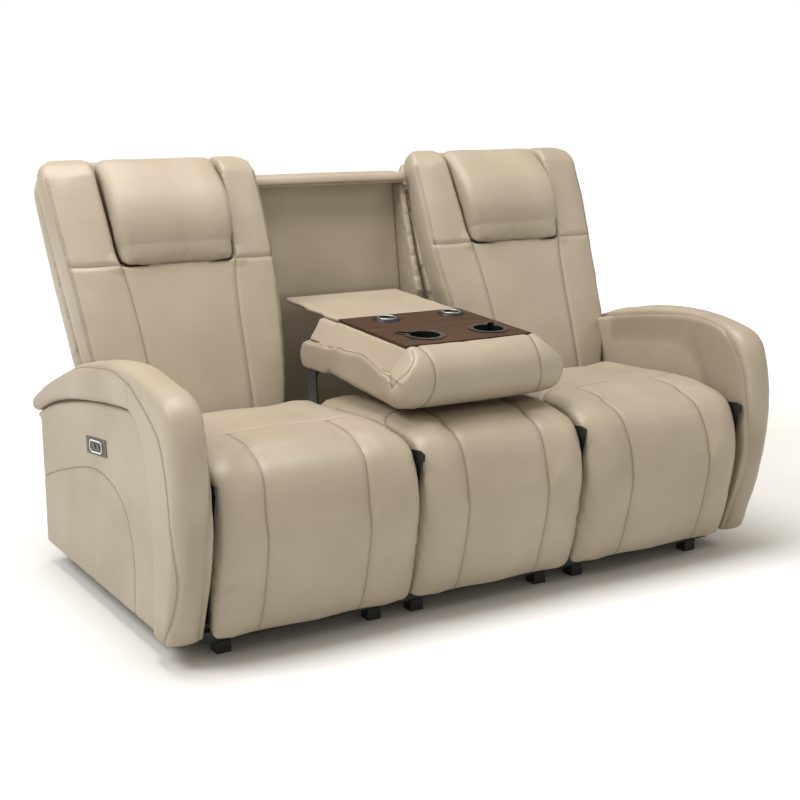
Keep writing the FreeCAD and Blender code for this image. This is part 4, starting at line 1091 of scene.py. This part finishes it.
def rolled(point):
    """Fuller front corners, side rolls that climb over the tray, lower front corners."""
    along, up = console_place(point)
    outer = ramp(abs(point.x) / MM, 196, 30)
    point.x *= 1 + FRONT_WIDENING * ramp(along, -300, -140)
    top = ramp(up, 40, 40) * ramp(up, 120, -25)
    point.z += ROLL_LIFT * hump(along, -410, -260, 40) * outer * top * MM
    low = ramp(up, 40, -40)
    point.z -= FRONT_DROP * hump(along, -520, -390, -120) * outer * low * MM
    return point


def charger_ring(name, x):
    """A thin light ring on a wireless charger."""
    only_none()
    bpy.ops.mesh.primitive_torus_add(
        location=console_point(x, RING_ALONG, RING_UP), rotation=(CONSOLE_TILT, 0, 0),
        major_radius=RING_RADIUS, minor_radius=RING_THICK, major_segments=48, minor_segments=10)
    ring = bpy.context.object
    ring.name = name
    bpy.ops.object.transform_apply(location=True, rotation=True, scale=True)
    finish_piece(ring, FINISH["aluminium"])
    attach(ring, "console")


class SOFA_OT_console(bpy.types.Operator):
    """Makes the console's padding, tray, rear flap and trims"""
    bl_idname = "sofa.console"
    bl_label = "Make Console"

    def execute(self, context):
        plates = (console_slabs("cheek", CHEEK, CHEEK_SIDES, CHEEK_THICK) +
                  console_slabs("filler", FILLER, FILLER_SIDES, FILLER_THICK))
        pad = padding("console_cushion", ["console_pad"], sizes().trim_voxel, 4,
                      sizes().puff * 0.7, extras=plates)
        reshape(pad, rolled)
        reshape(pad, lowered_corners(0))
        relax(pad, 0.5, 12, keep=away_from_corners)
        seams = []
        for side in (-1, 1):
            seams.append([console_point(side * CONSOLE_SIDE, *spot) for spot in SIDE_SEAM])
            seams.append([console_point(side * (CONSOLE_SIDE - 0.5 * (up - 60)), along, up)
                          for along, up in CORNER_SEAM])
            seams.append([console_point(side * x, along, up) for x, along, up in FRONT_SEAM])
        trim = sew(pad, seams, 0.003, 0.008)
        fit(pad, [trim], ["console"], ["console_pad"])

        tray = copy_of("console_tray_cover", "console_tray")
        even_mesh(tray, TRAY_VOXEL)
        relax(tray, 0.5, 4)
        reshape(tray, lowered_corners(TRAY_MARGIN))
        fit(tray, [], ["console"], ["console_tray"])

        for name, x in RINGS:
            charger_ring(name, x)

        flap = padding("console_flap", ["console_deck"], FLAP_VOXEL, 3, 0.0)
        fit(flap, [], ["console"], ["console_deck"])
        return {"FINISHED"}


# Stage: the floor, the light and the camera solved from the photograph

FLOOR_SIZE = 200
FLOOR_TONES = ((0.84, 0.84, 0.84), (0.86, 0.86, 0.86))
FAR_GLOW = {"From Min": 1.2, "From Max": 4.5, "To Min": 0.0, "To Max": 0.72}
ROOM_LIGHT, SEEN_SKY = (0.46, 0.42, 0.345), (1, 1, 1)
# Name, place, watts and size
LAMPS = (("top", (-0.5, -0.1, 4.3), 150, 2.4), ("left", (-3.5, -0.1, 3.9), 112, 2.0),
         ("right", (3.2, -2.8, 3.2), 22, 1.2))
LAMP_AIM = Vector((0, 0, 0.5))
FOCAL_SHARE, SENSOR = 1419.9 / 800, 36
CAMERA_PLACE = (-1.9817, -3.2470, 1.2865)
CAMERA_DOWN, CAMERA_TURN = 12.424, -31.267


class SOFA_OT_stage(bpy.types.Operator):
    """Sets the floor, the lights and the camera"""
    bl_idname = "sofa.stage"
    bl_label = "Set Stage"

    def execute(self, context):
        only_none()
        bpy.ops.mesh.primitive_plane_add(size=FLOOR_SIZE, location=(0, 0, 0))
        floor = bpy.context.object
        floor.name = "studio_floor"
        material, tree, shader, place = start_material("Pale floor")
        reach = node_of(tree, "ShaderNodeVectorMath", {0: place}, operation="LENGTH")
        glow = node_of(tree, "ShaderNodeMapRange", {"Value": reach.outputs["Value"], **FAR_GLOW},
                       interpolation_type="SMOOTHSTEP")
        cloud = noise(tree, place, 0.8, 2.0, 0.5)
        feed(tree, shader, {
            "Base Color": colour_between(tree, cloud, *FLOOR_TONES), "Roughness": 0.8,
            "Specular IOR Level": 0.1, "Emission Color": (0.90, 0.96, 1.0, 1),
            "Emission Strength": glow.outputs["Result"]})
        floor.data.materials.append(material)

        scene = bpy.context.scene
        scene.world = bpy.data.worlds.new("Studio")
        scene.world.use_nodes = True
        tree = scene.world.node_tree
        seen = node_of(tree, "ShaderNodeLightPath").outputs["Is Camera Ray"]
        feed(tree, tree.nodes["Background"], {
            "Color": colour_between(tree, seen, ROOM_LIGHT, SEEN_SKY), "Strength": 1.0})
        for name, spot, power, size in LAMPS:
            light = bpy.data.lights.new(name, "AREA")
            light.energy = power
            light.size = size
            lamp = add(name, light)
            lamp.location = spot
            lamp.rotation_euler = (LAMP_AIM - Vector(spot)).to_track_quat("-Z", "Y").to_euler()

        lens = bpy.data.cameras.new("camera")
        lens.lens = FOCAL_SHARE * SENSOR
        lens.sensor_width = SENSOR
        lens.sensor_fit = "HORIZONTAL"
        lens.clip_end = 100
        camera = add("camera", lens)
        camera.location = CAMERA_PLACE
        camera.rotation_euler = (math.radians(90 - CAMERA_DOWN), 0, math.radians(CAMERA_TURN))
        scene.camera = camera
        scene.view_settings.view_transform = "Standard"
        return {"FINISHED"}


class SOFA_PT_sidebar(bpy.types.Panel):
    """Lists the steps that build the sofa"""
    bl_idname = "SOFA_PT_sidebar"
    bl_label = "Sofa"
    bl_space_type = "VIEW_3D"
    bl_region_type = "UI"
    bl_category = "Sofa"

    def draw(self, context):
        layout = self.layout
        for group in (context.scene.sofa_sizes, context.scene.sofa_colours):
            for name in group.__annotations__:
                layout.prop(group, name)
        for step in STEPS:
            layout.operator(step.bl_idname)


STEPS = (SOFA_OT_finishes, SOFA_OT_arms, SOFA_OT_seats, SOFA_OT_backs, SOFA_OT_centre_back,
         SOFA_OT_console, SOFA_OT_stage)
CLASSES = (SofaSizes, SofaColours, *STEPS, SOFA_PT_sidebar)


def register():
    """Makes the settings, operators and panel known to Blender."""
    for each in CLASSES:
        bpy.utils.register_class(each)
    bpy.types.Scene.sofa_sizes = bpy.props.PointerProperty(type=SofaSizes)
    bpy.types.Scene.sofa_colours = bpy.props.PointerProperty(type=SofaColours)


def unregister():
    """Takes them out again."""
    del bpy.types.Scene.sofa_sizes
    del bpy.types.Scene.sofa_colours
    for each in reversed(CLASSES):
        bpy.utils.unregister_class(each)


def main():
    """Builds the sofa step by step."""
    register()
    bpy.ops.sofa.finishes()
    bpy.ops.sofa.arms()
    bpy.ops.sofa.seats()
    bpy.ops.sofa.backs()
    bpy.ops.sofa.centre_back()
    bpy.ops.sofa.console()
    bpy.ops.sofa.stage()


if __name__ == "__main__":
    main()
